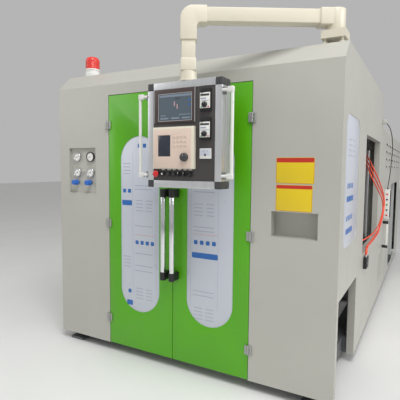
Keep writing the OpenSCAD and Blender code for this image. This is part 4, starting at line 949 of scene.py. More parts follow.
@dataclass
class Door:
    """One leaf of the green doors with its window, handle and hinge halves.

    Attributes:
        side: "left" or "right".
        low_x: Left edge of the leaf.
        high_x: Right edge of the leaf.
        hinge_x: Axis of the hinges.
        handle_x: Axis of the handle.
        film: Print on the window's film.
        height: Lower and upper edge of the leaf.
        depth: Depth of the leaf.
        skin: Thickness of its sheet.
        window: Width and height of the window's opening.
        window_z: Height of the window's middle.
        handle: Lower and upper end of the handle.
    """

    side: str
    low_x: float
    high_x: float
    hinge_x: float
    handle_x: float
    film: Print
    height: Span = (0.074, 2.043)
    depth: float = 0.040
    skin: float = 0.003
    window: Span = (0.362, 1.350)
    window_z: float = 1.050
    handle: Span = (0.684, 1.340)

    @property
    def body(self) -> str:
        """Name of the body that the leaf is."""
        return f"{self.side}_door"

    @property
    def middle(self) -> float:
        """Middle of the leaf and its window."""
        return (self.low_x + self.high_x) / 2

    def obround(self, grow: float, low: float, high: float) -> Solid:
        """Makes an upright sheet with round ends, as large as the window.

        Args:
            grow: How far it reaches past the window's opening.
            low: Front of the sheet.
            high: Back of the sheet.

        Returns:
            The sheet, unpainted.
        """
        wide, tall = self.window[0] / 2 + grow, self.window[1] / 2 + grow
        return plate(
            (self.middle - wide, low, self.window_z - tall),
            (self.middle + wide, high, self.window_z + tall), wide - 1e-4, steps=28,
        )

    def leaf(self) -> None:
        """Builds the folded sheet with its opening, two channels and three hinge halves."""
        skin, way = self.skin, 1 if self.side == "left" else -1
        low = Vector((self.low_x, FACE, self.height[0]))
        high = Vector((self.high_x, FACE + self.depth, self.height[1]))
        shell = box(low, high, 0.0025, 3)
        hollow = box(low + Vector((skin, skin, skin)),
                     (high.x - skin, high.y + 0.01, high.z - skin))
        cut(shell, hollow, self.obround(0.0, FACE - 0.01, FACE + 0.02))
        piece = Piece(f"{self.side}_leaf", self.body, (self.body,))
        piece.add(GREEN_PAINT, smooth(bevel(shell, 0.0008)))
        half = self.window[1] / 2
        for z in (self.window_z - half - 0.110, self.window_z + half + 0.060):
            piece.add(GREEN_PAINT, box(
                (low.x + skin, low.y + skin, z),
                (high.x - skin, low.y + self.depth / 2, z + 0.050), 0.0015,
            ))
        near, far = sorted((self.hinge_x + way * 0.009, self.hinge_x + way * 0.026))
        for z in HINGE_FEET:
            piece.add(
                HINGE_GREY,
                box((near, FACE - 0.010, z + 0.001), (far, FACE, z + 0.062), 0.002, 3),
                rod((self.hinge_x, FACE - 0.010, z + 0.0315), 0.0078, 0.020, Axis.Z, 0.0006, 48),
            )
        piece.close()

    def glass(self) -> None:
        """Builds the pane under pale film, with plain print on the film."""
        front, rim, thick, proud = FACE + self.skin, 0.018, 0.005, 0.0003
        pane = Piece(f"{self.side}_window", self.body, (f"{self.side}_door_window",))
        pane.add(FILM, smooth(bevel(self.obround(rim, front, front + thick), 0.0008)))

        def add(x: float, z: float, length: float, height: float, finish: Finish) -> None:
            """Adds one printed field at a distance from the leaf's middle."""
            pane.add(finish, mark((self.middle + x, front - proud, z), (length, height)))

        shift = self.film.shift
        for x in (-0.150, 0.066):
            add(shift + x, self.window_z, 0.0016, 1.10, FILM_GREY)
        for x, z, count, length in self.film.blocks:
            if length:
                add(x, z, length, 0.040, FILM_BLUE)
            if count == 4 and z < 1.5:
                add(x, z + 0.150, 0.186, 0.0035, FILM_ROSE)
            for k in range(count):
                add(x + 0.048 * (k - (count - 1) / 2), z + 0.092, 0.030, 0.030, FILM_BLUE)
        for z in self.film.lines:
            add(shift - 0.048, z, 0.166, 0.005, FILM_GREY)
        for x, length, top in self.film.dashes:
            for k in range(4):
                add(x, top - 0.026 * k, length, 0.005, FILM_GREY)
        pane.close()

    def grip(self) -> None:
        """Builds the chrome tube between two black brackets."""
        low, high = self.handle
        x, y, end = self.handle_x, FACE - 0.070, 0.058
        piece = Piece(f"{self.side}_grip", self.body, (f"{self.side}_door_handle",))
        piece.add(CHROME, rod((x, y, (low + high) / 2), 0.0189, high - low - 0.06, Axis.Z,
                              0.001, 48))
        for z in (low, high - end):
            piece.add(
                BLACK,
                turned((x, y, z), [
                    (0.0205, 0.0), (0.0228, 0.003), (0.0228, end - 0.003), (0.0205, end)
                ], Axis.Z, 48),
                box((x - 0.0185, y, z + 0.0005), (x + 0.0185, FACE, z + end - 0.0005), 0.004, 3),
            )
        piece.close()

    def build(self) -> None:
        """Builds the leaf with what it carries."""
        self.leaf()
        self.glass()
        self.grip()


DOORS = (
    Door(side="left", low_x=-0.608, high_x=-0.0115, hinge_x=HINGE_AXES[0], handle_x=-0.0465,
         film=LEFT_PRINT),
    Door(side="right", low_x=-0.0075, high_x=0.589, hinge_x=HINGE_AXES[1], handle_x=0.0275,
         film=RIGHT_PRINT),
)


@dataclass
class FixedHinges:
    """Halves of the door hinges that stay on the front panels.

    Attributes:
        height: Height of a hinge.
        knuckle: Length of a knuckle.
        radius: Radius of a knuckle.
    """

    height: float = 0.063
    knuckle: float = 0.0208
    radius: float = 0.0079

    def build(self) -> None:
        """Builds a plate, two knuckles and two screws for each hinge."""
        piece = Piece("fixed_hinge_halves", "frame", ("door_hinges",))
        for x, way in zip(HINGE_AXES, (-1, 1)):
            near, far = sorted((x + way * 0.0085, x + way * 0.026))
            for foot in HINGE_FEET:
                piece.add(HINGE_GREY, box((near, FACE - 0.0098, foot),
                                          (far, FACE, foot + self.height), 0.0022, 3))
                for z in (foot + 0.0105, foot + self.height - 0.0105):
                    piece.add(HINGE_GREY, rod((x, FACE - 0.010, z), self.radius, self.knuckle,
                                              Axis.Z, 0.0008, 48))
                    piece.add(STEEL, rod((x + way * 0.0175, FACE - 0.0101, z), 0.0040, 0.0012,
                                         round_off=0.0003))
        piece.close()


def flutes(knob: Solid, flute: Solid, x: float, z: float) -> None:
    """Cuts a ring of flutes into a knob.

    Args:
        knob: The knob.
        flute: Rod at the place of the first flute.
        x: Middle of the knob.
        z: Height of its middle.
    """
    for k in range(FLUTES):
        alone(flute)
        bpy.ops.object.duplicate(linked=False)
        cut(knob, turn_about(settle(active()), x, z, 360 / FLUTES * k))
    bpy.data.objects.remove(flute)


@dataclass
class Instruments:
    """Gauges, fittings and blue regulator knobs in the recess of the left panel.

    Attributes:
        back: Floor of the recess.
        gauges: Middle, radius and rim of each gauge.
        knobs: Middle and body of each knob.
        fittings: Middles of the pipe fittings.
    """

    back: float = -2.778
    gauges: tuple[tuple[float, float, float, Finish], ...] = (
        (-0.960, 1.445, 0.037, STEEL), (-0.815, 1.445, 0.037, STEEL),
        (-0.960, 1.572, 0.037, STEEL), (-0.815, 1.572, 0.0398, BLACK),
    )
    knobs: tuple[tuple[float, float, str], ...] = (
        (-0.960, 1.363, "left_regulator"), (-0.817, 1.363, "right_regulator"),
    )
    fittings: tuple[Span, ...] = ((-0.892, 1.452), (-0.884, 1.368))

    def gauge(self, piece: Piece, x: float, z: float, radius: float, rim: Finish) -> None:
        """Adds one gauge: a rolled rim, a white dial with ticks and a needle.

        Args:
            piece: Piece that it belongs to.
            x: Middle of the gauge.
            z: Height of its middle.
            radius: Radius of its rim.
            rim: Finish of its rim.
        """
        piece.add(rim, turned((x, self.back, z), [
            (radius - 0.003, 0.0), (radius - 0.003, 0.013), (radius, 0.0145), (radius, 0.0180),
            (radius - 0.0012, 0.0196), (radius - 0.0042, 0.0196), (radius - 0.0056, 0.0178),
            (radius - 0.0060, 0.0146),
        ], sides=56))
        piece.add(DIAL_WHITE, turned((x, self.back - 0.0146, z), [
            (radius - 0.0062, 0.0), (radius - 0.0066, 0.0006)
        ], sides=56))
        face, ticks, sweep = self.back - 0.0153, 10, 270
        for k in range(ticks + 1):
            tick = box((x - 0.0005, face - 0.0003, z + radius - 0.0135),
                       (x + 0.0005, face, z + radius - 0.0085))
            piece.add(BLACK, turn_about(tick, x, z, sweep * (0.5 - k / ticks)))
        needle = box((x - 0.0009, face - 0.0009, z - 0.006),
                     (x + 0.0009, face - 0.0004, z + 0.021), 0.0003)
        piece.add(BLACK, turn_about(needle, x, z, 110),
                  turned((x, face, z), [(0.004, 0.0), (0.0036, 0.0016)], sides=20))

    def knob(self, x: float, z: float, body: str) -> None:
        """Builds one fluted knob with a ring and a domed cap.

        Args:
            x: Middle of the knob.
            z: Height of its middle.
            body: Body that it is.
        """
        foot = self.back - 0.0143
        knob = turned((x, foot, z), [
            (0.020, 0.0), (0.0220, 0.002), (0.0220, 0.030), (0.0190, 0.048), (0.0170, 0.0498),
            (0.010, 0.0500),
        ], sides=72)
        flutes(knob, rod((x + 0.0240, foot - 0.017, z), 0.004, 0.036, sides=16), x, z)
        cut(knob, rod((x, foot - 0.012, z), BORE_R, 0.028, sides=24))
        Piece(f"{body}_turn_knob", body, (f"{body}_knob",)).add(
            BLUE_KNOB, smooth(knob, 40)
        ).close()

    def build(self) -> None:
        """Builds the gauges, the valve bodies, the pipe fittings and both knobs."""
        piece = Piece("gauge_set", "frame", ("pressure_gauges",))
        for place in self.gauges:
            self.gauge(piece, *place)
        for x, z, _ in self.knobs:
            piece.add(ZINC, turned((x, self.back, z), [
                (0.0135, 0.0), (0.0150, 0.0015), (0.0150, 0.0120), (0.0135, 0.0139),
                (SPINDLE_R, 0.0139), (SPINDLE_R, 0.0388),
            ], sides=32))
        for x, z in self.fittings:
            piece.add(
                CHROME, rod((x, self.back - 0.004, z), 0.008, 0.008, round_off=0.0008, sides=6),
                turned((x, self.back - 0.008, z), [(0.005, 0.0), (0.005, 0.006), (0.004, 0.0078)],
                       sides=24),
            )
        piece.close()
        for x, z, body in self.knobs:
            self.knob(x, z, body)


@dataclass
class RoofLamp:
    """Red lamp on the roof: a pale base and a ribbed lens with a domed top.

    Attributes:
        foot: Middle of its base on the roof.
        radius: Radius of the base.
        height: Height of the base.
        ribs: Number of ribs round the lens.
        pitch: Distance between two ribs.
        curve: Radius of the lens's rounded top edge.
    """

    foot: Point = (-0.960, -2.600, 2.250)
    radius: float = 0.0625
    height: float = 0.069
    ribs: int = 8
    pitch: float = 0.0075
    curve: float = 0.035

    def build(self) -> None:
        """Builds the base and the lens."""
        r, lens_r = self.radius, self.radius - 0.004
        base = turned(self.foot, [
            (r - 0.002, 0.0), (r, 0.002), (r, 0.032), (r - 0.004, 0.037), (r - 0.004, 0.053),
            (r, 0.058), (r, 0.066), (r - 0.003, self.height),
        ], Axis.Z, 64)
        Piece("lamp_foot", "frame", ("lamp_base",)).add(WHITE_PAINT, base).close()
        profile: list[Span] = [(lens_r, 0.0), (lens_r, 0.004)]
        for k in range(self.ribs):
            z = 0.006 + self.pitch * k
            profile += [(lens_r - 0.0012, z), (lens_r, z + 0.002), (lens_r, z + 0.0045)]
        for angle in range(0, 91, 10):
            turn = math.radians(angle)
            profile.append((lens_r - self.curve * (1 - math.cos(turn)),
                            0.068 + self.curve * math.sin(turn)))
        x, y, z = self.foot
        lens = turned((x, y, z + self.height), profile, Axis.Z, 64)
        Piece("lamp_lens", "frame", ("lamp_dome",)).add(RED_LENS, lens).close()


@dataclass
class Pendant:
    """Control box that hangs on the arm.

    Attributes:
        left: Left side of the box.
        top: Top of the box.
        front: Front of its frame.
        face: Front of the face plate.
        back: Rear of the box.
        size: Its width and height.
        rim: Width of the frame's profiles.
        collar: Height of the collars round the buttons.
        row: Distance of the row of buttons below the top.
        push_row: Places of the push buttons, from the left.
        selector_row: Places of the selectors.
        stop: Place of the red button.
        signal: Place of the small lamp.
        speeds: Top and body of each speed unit.
    """

    left: float = 0.006
    top: float = 2.018
    front: float = -3.122
    face: float = -3.118
    back: float = -3.010
    size: Span = (0.528, 0.652)
    rim: float = 0.045
    collar: float = 0.007
    row: float = 0.566
    push_row: tuple[float, ...] = (0.118, 0.161, 0.201)
    selector_row: tuple[float, ...] = (0.240, 0.279)
    stop: float = 0.071
    signal: float = 0.315
    speeds: tuple[tuple[float, str], ...] = ((0.060, "upper_speed"), (0.230, "lower_speed"))

    @property
    def right(self) -> float:
        """Right side of the box."""
        return self.left + self.size[0]

    @property
    def foot(self) -> float:
        """Lower side of the box."""
        return self.top - self.size[1]

    def at(self, dx: float, dz: float, out: float = 0.0) -> tuple[float, float, float]:
        """Place on the face plate.

        Args:
            dx: Distance from the left side of the box.
            dz: Distance below its top.
            out: Distance in front of the face plate.

        Returns:
            The place.
        """
        return self.left + dx, self.face - out, self.top - dz

    def panel(
        self, low: Span, high: Span, depth: Span, radius: float = 0.001, round_off: float = 0.0
    ) -> Solid:
        """Makes a sheet that lies on the face plate.

        Args:
            low: Left and lower edge, as distances from the left and below the top.
            high: Right and upper edge, likewise.
            depth: Distance of its rear and its front from the face plate.
            radius: Radius of its corners.
            round_off: Width of the rounding of its edges.

        Returns:
            The sheet, unpainted.
        """
        return plate(self.at(*low, depth[1]), self.at(*high, depth[0]), radius, round_off)

    def frame(self) -> None:
        """Builds the grooved silver profiles round the box, without their corners."""
        rim, left, right, foot, top = self.rim, self.left, self.right, self.foot, self.top
        lip, past, groove, drops = 0.003, 0.01, 0.007, (0.040, 0.072)
        piece = Piece("pendant_profiles", "pendant", ("pendant_frame",))
        for (x0, z0), (x1, z1) in (
            ((left + rim, foot), (right - rim, foot + rim)),
            ((left + rim, top - rim), (right - rim, top)),
            ((left, foot + rim), (left + rim, top - rim)),
            ((right - rim, foot + rim), (right, top - rim)),
        ):
            bar = box((x0, self.front, z0), (x1, self.back, z1), 0.003, 4)
            if x1 - x0 < 2 * rim:
                low_x, high_x = (x0 - past, x0 + lip) if x0 == left else (x1 - lip, x1 + past)
                low_z, high_z = z0 - past, z1 + past
            else:
                low_z, high_z = (z0 - past, z0 + lip) if z0 == foot else (z1 - lip, z1 + past)
                low_x, high_x = x0 - past, x1 + past
            for y in (self.back - drop for drop in drops):
                cut(bar, box((low_x, y, low_z), (high_x, y + groove, high_z)))
            piece.add(ALUMINIUM, smooth(bar))
        piece.close()

    def rear(self) -> None:
        """Builds the rear pan with its ribs, the corner pieces in two halves, and screws."""
        rim, left, right, foot, top = self.rim, self.left, self.right, self.foot, self.top
        piece = Piece("pendant_rear", "pendant", ("pendant_back",))
        piece.add(DARK_GREY, box(
            (left + rim - 0.001, self.back - 0.006, foot + rim - 0.001),
            (right - rim + 0.001, self.back, top - rim + 0.001), 0.0015,
        ))
        for x in (left, right - rim):
            for z in (foot, top - rim):
                for y0, y1 in ((self.front, -3.0675), (-3.0665, self.back)):
                    piece.add(DARK_GREY, box((x, y0, z), (x + rim, y1, z + rim), 0.006, 5))
        for way in (-1, 1):
            x = (left + right) / 2 + way * self.size[0] / 6
            piece.add(DARK_GREY, box((x - 0.015, self.back - 0.014, foot + rim),
                                     (x + 0.015, self.back - 0.005, top - rim), 0.001))
        for x in (left + 0.017, right - 0.017):
            for z in (foot + 0.017, top - 0.017):
                piece.add(STEEL, turned((x, self.front + 0.0012, z), [
                    (0.0045, 0.0), (0.0045, 0.0006), (0.0038, 0.0011), (0.0020, 0.0011),
                    (0.0020, 0.0003),
                ], sides=20))
        piece.close()

    def face_plate(self) -> None:
        """Builds the charcoal face plate with the buttons' collars, labels and the small lamp."""
        rim, tall, r = self.rim, self.collar, 0.017
        row = (self.stop, *self.push_row, *self.selector_row)
        sheet = box((self.left + rim, self.face, self.foot + rim),
                    (self.right - rim, self.face + 0.020, self.top - rim), 0.001)
        cut(sheet, *(rod(self.at(dx, self.row), BORE_R, 0.06) for dx in row))
        piece = Piece("pendant_plate", "pendant", ("pendant_face",)).add(CHARCOAL, smooth(sheet))
        for dx in row:
            ring = turned(self.at(dx, self.row), [
                (r, 0.0), (r, tall / 2), (r - 0.001, tall), (r - 0.0035, tall),
                (r - 0.0042, tall - 0.0012),
            ], sides=40)
            piece.add(DARK_GREY, smooth(cut(ring, rod(self.at(dx, self.row), BORE_R, 0.03))))
        piece.add(BLACK, turned(self.at(self.signal, self.row), [
            (r, 0.0), (r, 0.005), (0.0155, 0.007), (0.011, 0.007), (0.011, 0.012),
            (0.008, 0.0148), (0.0, 0.015),
        ], sides=32))
        for dx in (*self.push_row, *self.selector_row, self.signal):
            piece.add(WHITE_PAINT, self.panel((dx - 0.012, self.row - 0.024),
                                              (dx + 0.012, self.row - 0.030), (0.0, 0.0006)))
        piece.close()

    def screen(self) -> None:
        """Builds the touch screen: bezel, thin silver lines, glass and a plain picture of bars."""
        bezel = self.panel((0.053, 0.251), (0.351, 0.046), (0.0, 0.008), 0.006, 0.0015)
        well = self.panel((0.088, 0.237), (0.325, 0.075), (0.006, 0.02), 0.002)
        piece = Piece("screen_unit", "pendant", ("touch_screen",))
        piece.add(BEZEL, smooth(cut(bezel, well)))
        for low, high in (
            ((0.084, 0.0750), (0.329, 0.0722)), ((0.084, 0.2398), (0.329, 0.2370)),
            ((0.0852, 0.2398), (0.0880, 0.0722)), ((0.3250, 0.2398), (0.3278, 0.0722)),
            ((0.053, 0.251), (0.0556, 0.046)), ((0.3468, 0.251), (0.351, 0.046)),
        ):
            piece.add(ALUMINIUM, self.panel(low, high, (0.0068, 0.0084), 0.0006))
        piece.add(SCREEN, self.panel((0.0905, 0.2345), (0.3225, 0.0775), (0.0058, 0.0066)))
        for low, high, finish in (
            ((0.092, 0.093), (0.321, 0.079), SCREEN_MARK), ((0.205, 0.108), (0.240, 0.102), BEZEL),
            ((0.300, 0.122), (0.318, 0.114), FILM_BLUE),
            ((0.300, 0.150), (0.318, 0.142), FILM_BLUE),
            ((0.200, 0.150), (0.206, 0.122), FILM_ROSE),
            ((0.220, 0.168), (0.226, 0.140), FILM_ROSE),
            ((0.100, 0.208), (0.140, 0.203), SCREEN_MARK),
            ((0.235, 0.205), (0.316, 0.200), SCREEN_MARK),
            ((0.100, 0.228), (0.160, 0.218), SCREEN_MARK),
            ((0.180, 0.228), (0.240, 0.218), SCREEN_MARK),
            ((0.258, 0.228), (0.316, 0.218), SCREEN_MARK),
        ):
            piece.add(finish, self.panel(low, high, (0.0064, 0.0069)))
        piece.close()

    def fluted(
        self, piece: Piece, finish: Finish, place: Point, sizes: tuple[float, float, float]
    ) -> None:
        """Builds a fluted knob with a pointer line, hollow for its spindle.

        Args:
            piece: The empty piece that it becomes.
            finish: Its surface.
            place: Middle of its back, as distances from the left, below the top and in front.
            sizes: Radius, length and depth of the bore.
        """
        radius, length, depth = sizes
        gap = 0.0003
        x, y, z = self.at(place[0], place[1], place[2] + gap)
        knob = turned((x, y, z), [
            (radius - 0.002, 0.0), (radius, 0.002), (radius, length * 0.6),
            (radius - 0.003, length - 0.0016), (radius - 0.0046, length),
        ], sides=60)
        flutes(knob, rod((x + radius + 0.0022, y - length * 0.34, z), 0.004, length * 0.74,
                         sides=16), x, z)
        cut(knob, rod((x, y, z), BORE_R, 2 * depth))
        piece.add(finish, smooth(knob, 40))
        piece.add(DIAL_WHITE, box((x - 0.0008, y - length - 0.0002, z + radius * 0.25),
                                  (x + 0.0008, y - length + 0.001, z + radius * 0.78), 0.0002))
        piece.close()

    def controller(self) -> None:
        """Builds the beige controller with a pale rim, its display, its keys and its dial."""
        rim = self.panel((0.056, 0.534), (0.354, 0.277), (0.0, 0.0258), 0.004, 0.002)
        well = self.panel((0.096, 0.458), (0.188, 0.327), (0.0235, 0.04), 0.002)
        front = self.panel((0.063, 0.529), (0.336, 0.290), (0.0250, 0.028), 0.004, 0.001)
        dial, first, pitch = (0.292, 0.463), (0.208, 0.346), (0.026, 0.027)
        piece = Piece("controller_unit", "pendant", ("parison_controller",))
        piece.add(BEIGE_RIM, smooth(rim)).add(BEIGE, smooth(cut(front, well)))
        piece.add(DISPLAY, self.panel((0.0962, 0.4578), (0.1878, 0.3272), (0.0240, 0.0262),
                                      0.002, 0.0004))
        piece.add(STEEL, rod(self.at(*dial, 0.036), SPINDLE_R, 0.016, round_off=0.0006))
        for row in range(3):
            for k in range(4):
                x, z = first[0] + pitch[0] * k, first[1] + pitch[1] * row
                piece.add(BEIGE, self.panel((x, z), (x + 0.018, z - 0.016), (0.0275, 0.030),
                                            0.003, 0.0009))
                piece.add(FILM_ROSE, self.panel((x + 0.003, z - 0.007), (x + 0.015, z - 0.0085),
                                                (0.0299, 0.0302), 0.0006))
        piece.close()
        self.fluted(Piece("dial_knob", "controller_dial", ("controller_knob",)), DARK_GREY,
                    (*dial, 0.028), (0.026, 0.024, 0.017))

    def buttons(self) -> None:
        """Builds the red mushroom button, three push buttons and two selectors in a row."""
        sunk = 0.020
        lift = sunk + self.collar
        Piece("mushroom", "stop_button", ("emergency_stop",)).add(RED, turned(
            self.at(self.stop, self.row, -sunk), [
                (SPINDLE_R, 0.0), (SPINDLE_R, lift + 0.006), (0.016, lift + 0.006),
                (0.0195, lift + 0.0085), (0.0210, lift + 0.011), (0.0210, lift + 0.014),
                (0.0185, lift + 0.0175), (0.0150, lift + 0.0192), (0.009, lift + 0.0206),
                (0.0, lift + 0.021),
            ], sides=48,
        )).close()
        for k, dx in enumerate(self.push_row, 1):
            piece = Piece(f"push_cap_{k}", f"button_{k}", (f"push_button_{k}",))
            piece.add(BLACK, turned(self.at(dx, self.row, -sunk), [
                (SPINDLE_R, 0.0), (SPINDLE_R, lift + 0.004), (0.0132, lift + 0.004),
                (0.0140, lift + 0.0048), (0.0140, lift + 0.0095), (0.0126, lift + 0.011),
                (0.0100, lift + 0.011), (0.0090, lift + 0.0101), (0.0, lift + 0.0099),
            ], sides=40))
            piece.add(WHITE_PAINT if k == 1 else DARK_GREY, turned(
                self.at(dx, self.row, self.collar + 0.0098),
                [(0.0060, 0.0), (0.0056, 0.0006), (0.0, 0.0008)],
            ))
            piece.close()
        for k, dx in enumerate(self.selector_row, 1):
            x, y, z = self.at(dx, self.row, self.collar)
            piece = Piece(f"selector_cap_{k}", f"selector_{k}", (f"selector_switch_{k}",))
            piece.add(BLACK, turned(self.at(dx, self.row, -sunk), [
                (SPINDLE_R, 0.0), (SPINDLE_R, lift + 0.0004), (0.0134, lift + 0.0004),
                (0.0140, lift + 0.0010), (0.0140, lift + 0.0042), (0.0130, lift + 0.0052),
            ], sides=40))
            piece.add(BLACK, box((x - 0.004, y - 0.017, z - 0.013),
                                 (x + 0.004, y - 0.0045, z + 0.013), 0.0012, 3))
            piece.add(DIAL_WHITE, box((x - 0.001, y - 0.0172, z + 0.002),
                                      (x + 0.001, y - 0.0166, z + 0.012), 0.0002))
            piece.close()

    def speed(self) -> None:
        """Builds two speed units with white faces, a meter below them, and their knobs."""
        piece = Piece("speed_set", "pendant", ("speed_units",))
        dial_x, dial_drop, face = 0.4215, 0.096, 0.018
        for top, _ in self.speeds:
            piece.add(BLACK, self.panel((0.385, top + 0.130), (0.458, top), (0.0, 0.015),
                                        0.003, 0.0015))
            piece.add(DIAL_WHITE, self.panel((0.388, top + 0.116), (0.455, top + 0.026),
                                             (0.0145, face), 0.002, 0.0008))
            for low, high, finish in (
                ((0.392, top + 0.046), (0.451, top + 0.034), DARK_GREY),
                ((0.392, top + 0.064), (0.430, top + 0.056), FILM_GREY),
                ((0.394, top + 0.113), (0.404, top + 0.106), GREEN_LAMP),
                ((0.440, top + 0.113), (0.450, top + 0.106), RED),
                ((0.392, top + 0.075), (0.451, top + 0.072), FILM_GREY),
            ):
                piece.add(finish, self.panel(low, high, (0.0176, 0.0184)))
            piece.add(STEEL, rod(self.at(dial_x, top + dial_drop, face + 0.006), SPINDLE_R, 0.012,
                                 round_off=0.0005))
            piece.add(BLACK, turned(self.at(0.403, top + 0.020, 0.014), [
                (0.0066, 0.0), (0.0070, 0.0006), (0.0068, 0.0128), (0.0060, 0.0139),
            ]))
        self.meter(piece)
        piece.close()
        for top, body in self.speeds:
            self.fluted(Piece(f"{body}_dial", body, (f"{body}_knob",)), BLACK,
                        (dial_x, top + dial_drop, face), (0.017, 0.018, 0.013))

    def meter(self, piece: Piece) -> None:
        """Adds the meter: its case, its dial with seven ticks, and a needle on a boss.

        Args:
            piece: Piece that it belongs to.
        """
        piece.add(WHITE_PAINT, self.panel((0.386, 0.472), (0.461, 0.411), (0.0, 0.012),
                                          0.003, 0.0012))
        piece.add(FILM, self.panel((0.390, 0.4545), (0.457, 0.4145), (0.0110, 0.0124),
                                   0.002, 0.0004))
        x, y, z = self.at(0.4235, 0.447, 0.0124)
        ticks, sweep = 6, 90
        for k in range(ticks + 1):
            tick = box((x - 0.0006, y - 0.0004, z + 0.022), (x + 0.0006, y + 0.0002, z + 0.026))
            piece.add(BLACK, turn_about(tick, x, z, sweep * (0.5 - k / ticks)))
        needle = box((x - 0.0005, y - 0.0006, z), (x + 0.0005, y - 0.0001, z + 0.022))
        piece.add(BLACK, turn_about(needle, x, z, 28))
        piece.add(DARK_GREY, turned((x, y, z - 0.003), [
            (0.007, 0.0), (0.006, 0.0012), (0.0, 0.0014)
        ]))

    def grips(self) -> None:
        """Builds the bent tube handles with grey blocks on both sides."""
        low, high = (Vector(corner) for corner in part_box("pendant_handles"))
        piece = Piece("pendant_grips", "pendant", ("pendant_handles",))
        y, radius, bend, steps = self.front + 0.005, 0.0098, 0.018, 6
        for side, way in ((self.left, -1), (self.right, 1)):
            out = side + way * 0.063
            line = [(side, low.z + bend)]
            for k in range(steps + 1):
                turn = math.radians(90 * k / steps)
                line.append((out - way * bend * (1 - math.sin(turn)),
                             low.z + bend + bend * (1 - math.cos(turn))))
            line += [(x, high.z + low.z - z) for x, z in reversed(line)]
            alone(tube_along("grip", [(x, y, z) for x, z in line], radius, 6, False))
            bpy.ops.object.convert(target="MESH")
            piece.add(WHITE_PAINT, smooth(active(), 60))
            for z in (low.z, high.z - 0.034):
                x0, x1 = sorted((side + way * 0.034, out + way * radius))
                piece.add(WHITE_PAINT, box((x0, y - 0.011, z), (x1, y + 0.011, z + 0.034),
                                           0.005, 4))
            for z in (low.z, high.z - 0.040):
                x0, x1 = sorted((side, side + way * 0.014))
                piece.add(ZINC, box((x0, y - 0.005, z), (x1, y + 0.030, z + 0.040), 0.002, 3))
        piece.close()

    def build(self) -> None:
        """Builds the box and everything on it."""
        self.frame()
        self.rear()
        self.face_plate()
        self.screen()
        self.controller()
        self.buttons()
        self.speed()
        self.grips()


@dataclass
class Arm:
    """Square arm with its hub, a rounded elbow, the drop tube and the coupling.

    Attributes:
        column: Place of the column's axis.
        drop: Place of the drop tube's axis at rest.
        foot: Height of the hub's foot.
        low: Height of the lower side of the arm.
        high: Height of its upper side.
        elbow_foot: Height of the elbow's lower end.
        coupling_foot: Height of the coupling's lower end.
        half: Half of the elbow's width.
        tube: Half of the tubes' width.
    """

    column: Span = (1.050, -2.605)
    drop: Span = (0.270, -3.062)
    foot: float = 2.3303
    low: float = 2.363
    high: float = 2.463
    elbow_foot: float = 2.262
    coupling_foot: float = 2.0803
    half: float = 0.050
    tube: float = 0.042

    @property
    def length(self) -> float:
        """Distance between the column's axis and the drop tube's."""
        return math.dist(self.column, self.drop)

    @property
    def turn(self) -> float:
        """Direction of the arm at rest, from the X axis."""
        return math.atan2(self.drop[1] - self.column[1], self.drop[0] - self.column[0])

    def elbow(self) -> Solid:
        """Makes the elbow, with a large outer radius and a small inner one.

        Returns:
            The elbow, unpainted.
        """
        outer, start = self.length + self.half, self.length - self.half - 0.060
        radius, past = 0.078, 0.080
        block = box((start, -self.half, self.elbow_foot), (outer, self.half, self.high))
        inside = box((start - past, -past, self.elbow_foot - past),
                     (outer - 2 * self.half, past, self.low), 0.022, 4)
        middle = (outer - radius, 0.0, self.high - radius)
        corner = box((outer - radius, -0.070, self.high - radius),
                     (outer + 0.02, 0.070, self.high + 0.02))
        cut(corner, rod(middle, radius, 0.2, sides=64))
        return smooth(bevel(cut(block, inside, corner), 0.004, 3))

    def build(self) -> None:
        """Builds the arm along X, then turns it to its place at rest."""
        middle = (self.low + self.high) / 2
        end, tube, wide = self.length, self.tube, 0.0475
        drop_top = self.coupling_foot + 0.0747
        piece = Piece("arm_tube", "arm", ("swing_arm",))
        piece.add(
            ARM_PAINT,
            rod((0.0, 0.0, (self.foot + self.high) / 2), 0.0575, self.high - self.foot, Axis.Z,
                0.006, 72),
            box((0.0, -self.half, self.low), (0.1075, self.half, self.high), 0.005, 3),
            box((0.098, -tube, middle - tube), (end - self.half - 0.05, tube, middle + tube),
                0.004, 3),
            self.elbow(),
            box((end - tube, -tube, drop_top - 0.004), (end + tube, tube, self.elbow_foot + 0.004),
                0.004, 3),
            box((end - wide, -wide, self.coupling_foot), (end + wide, wide, drop_top), 0.006, 3),
            rod((end, 0.0, self.coupling_foot - 0.0155), 0.030, 0.032, Axis.Z, sides=48),
        )
        piece.close((*self.column, 0.0), self.turn)


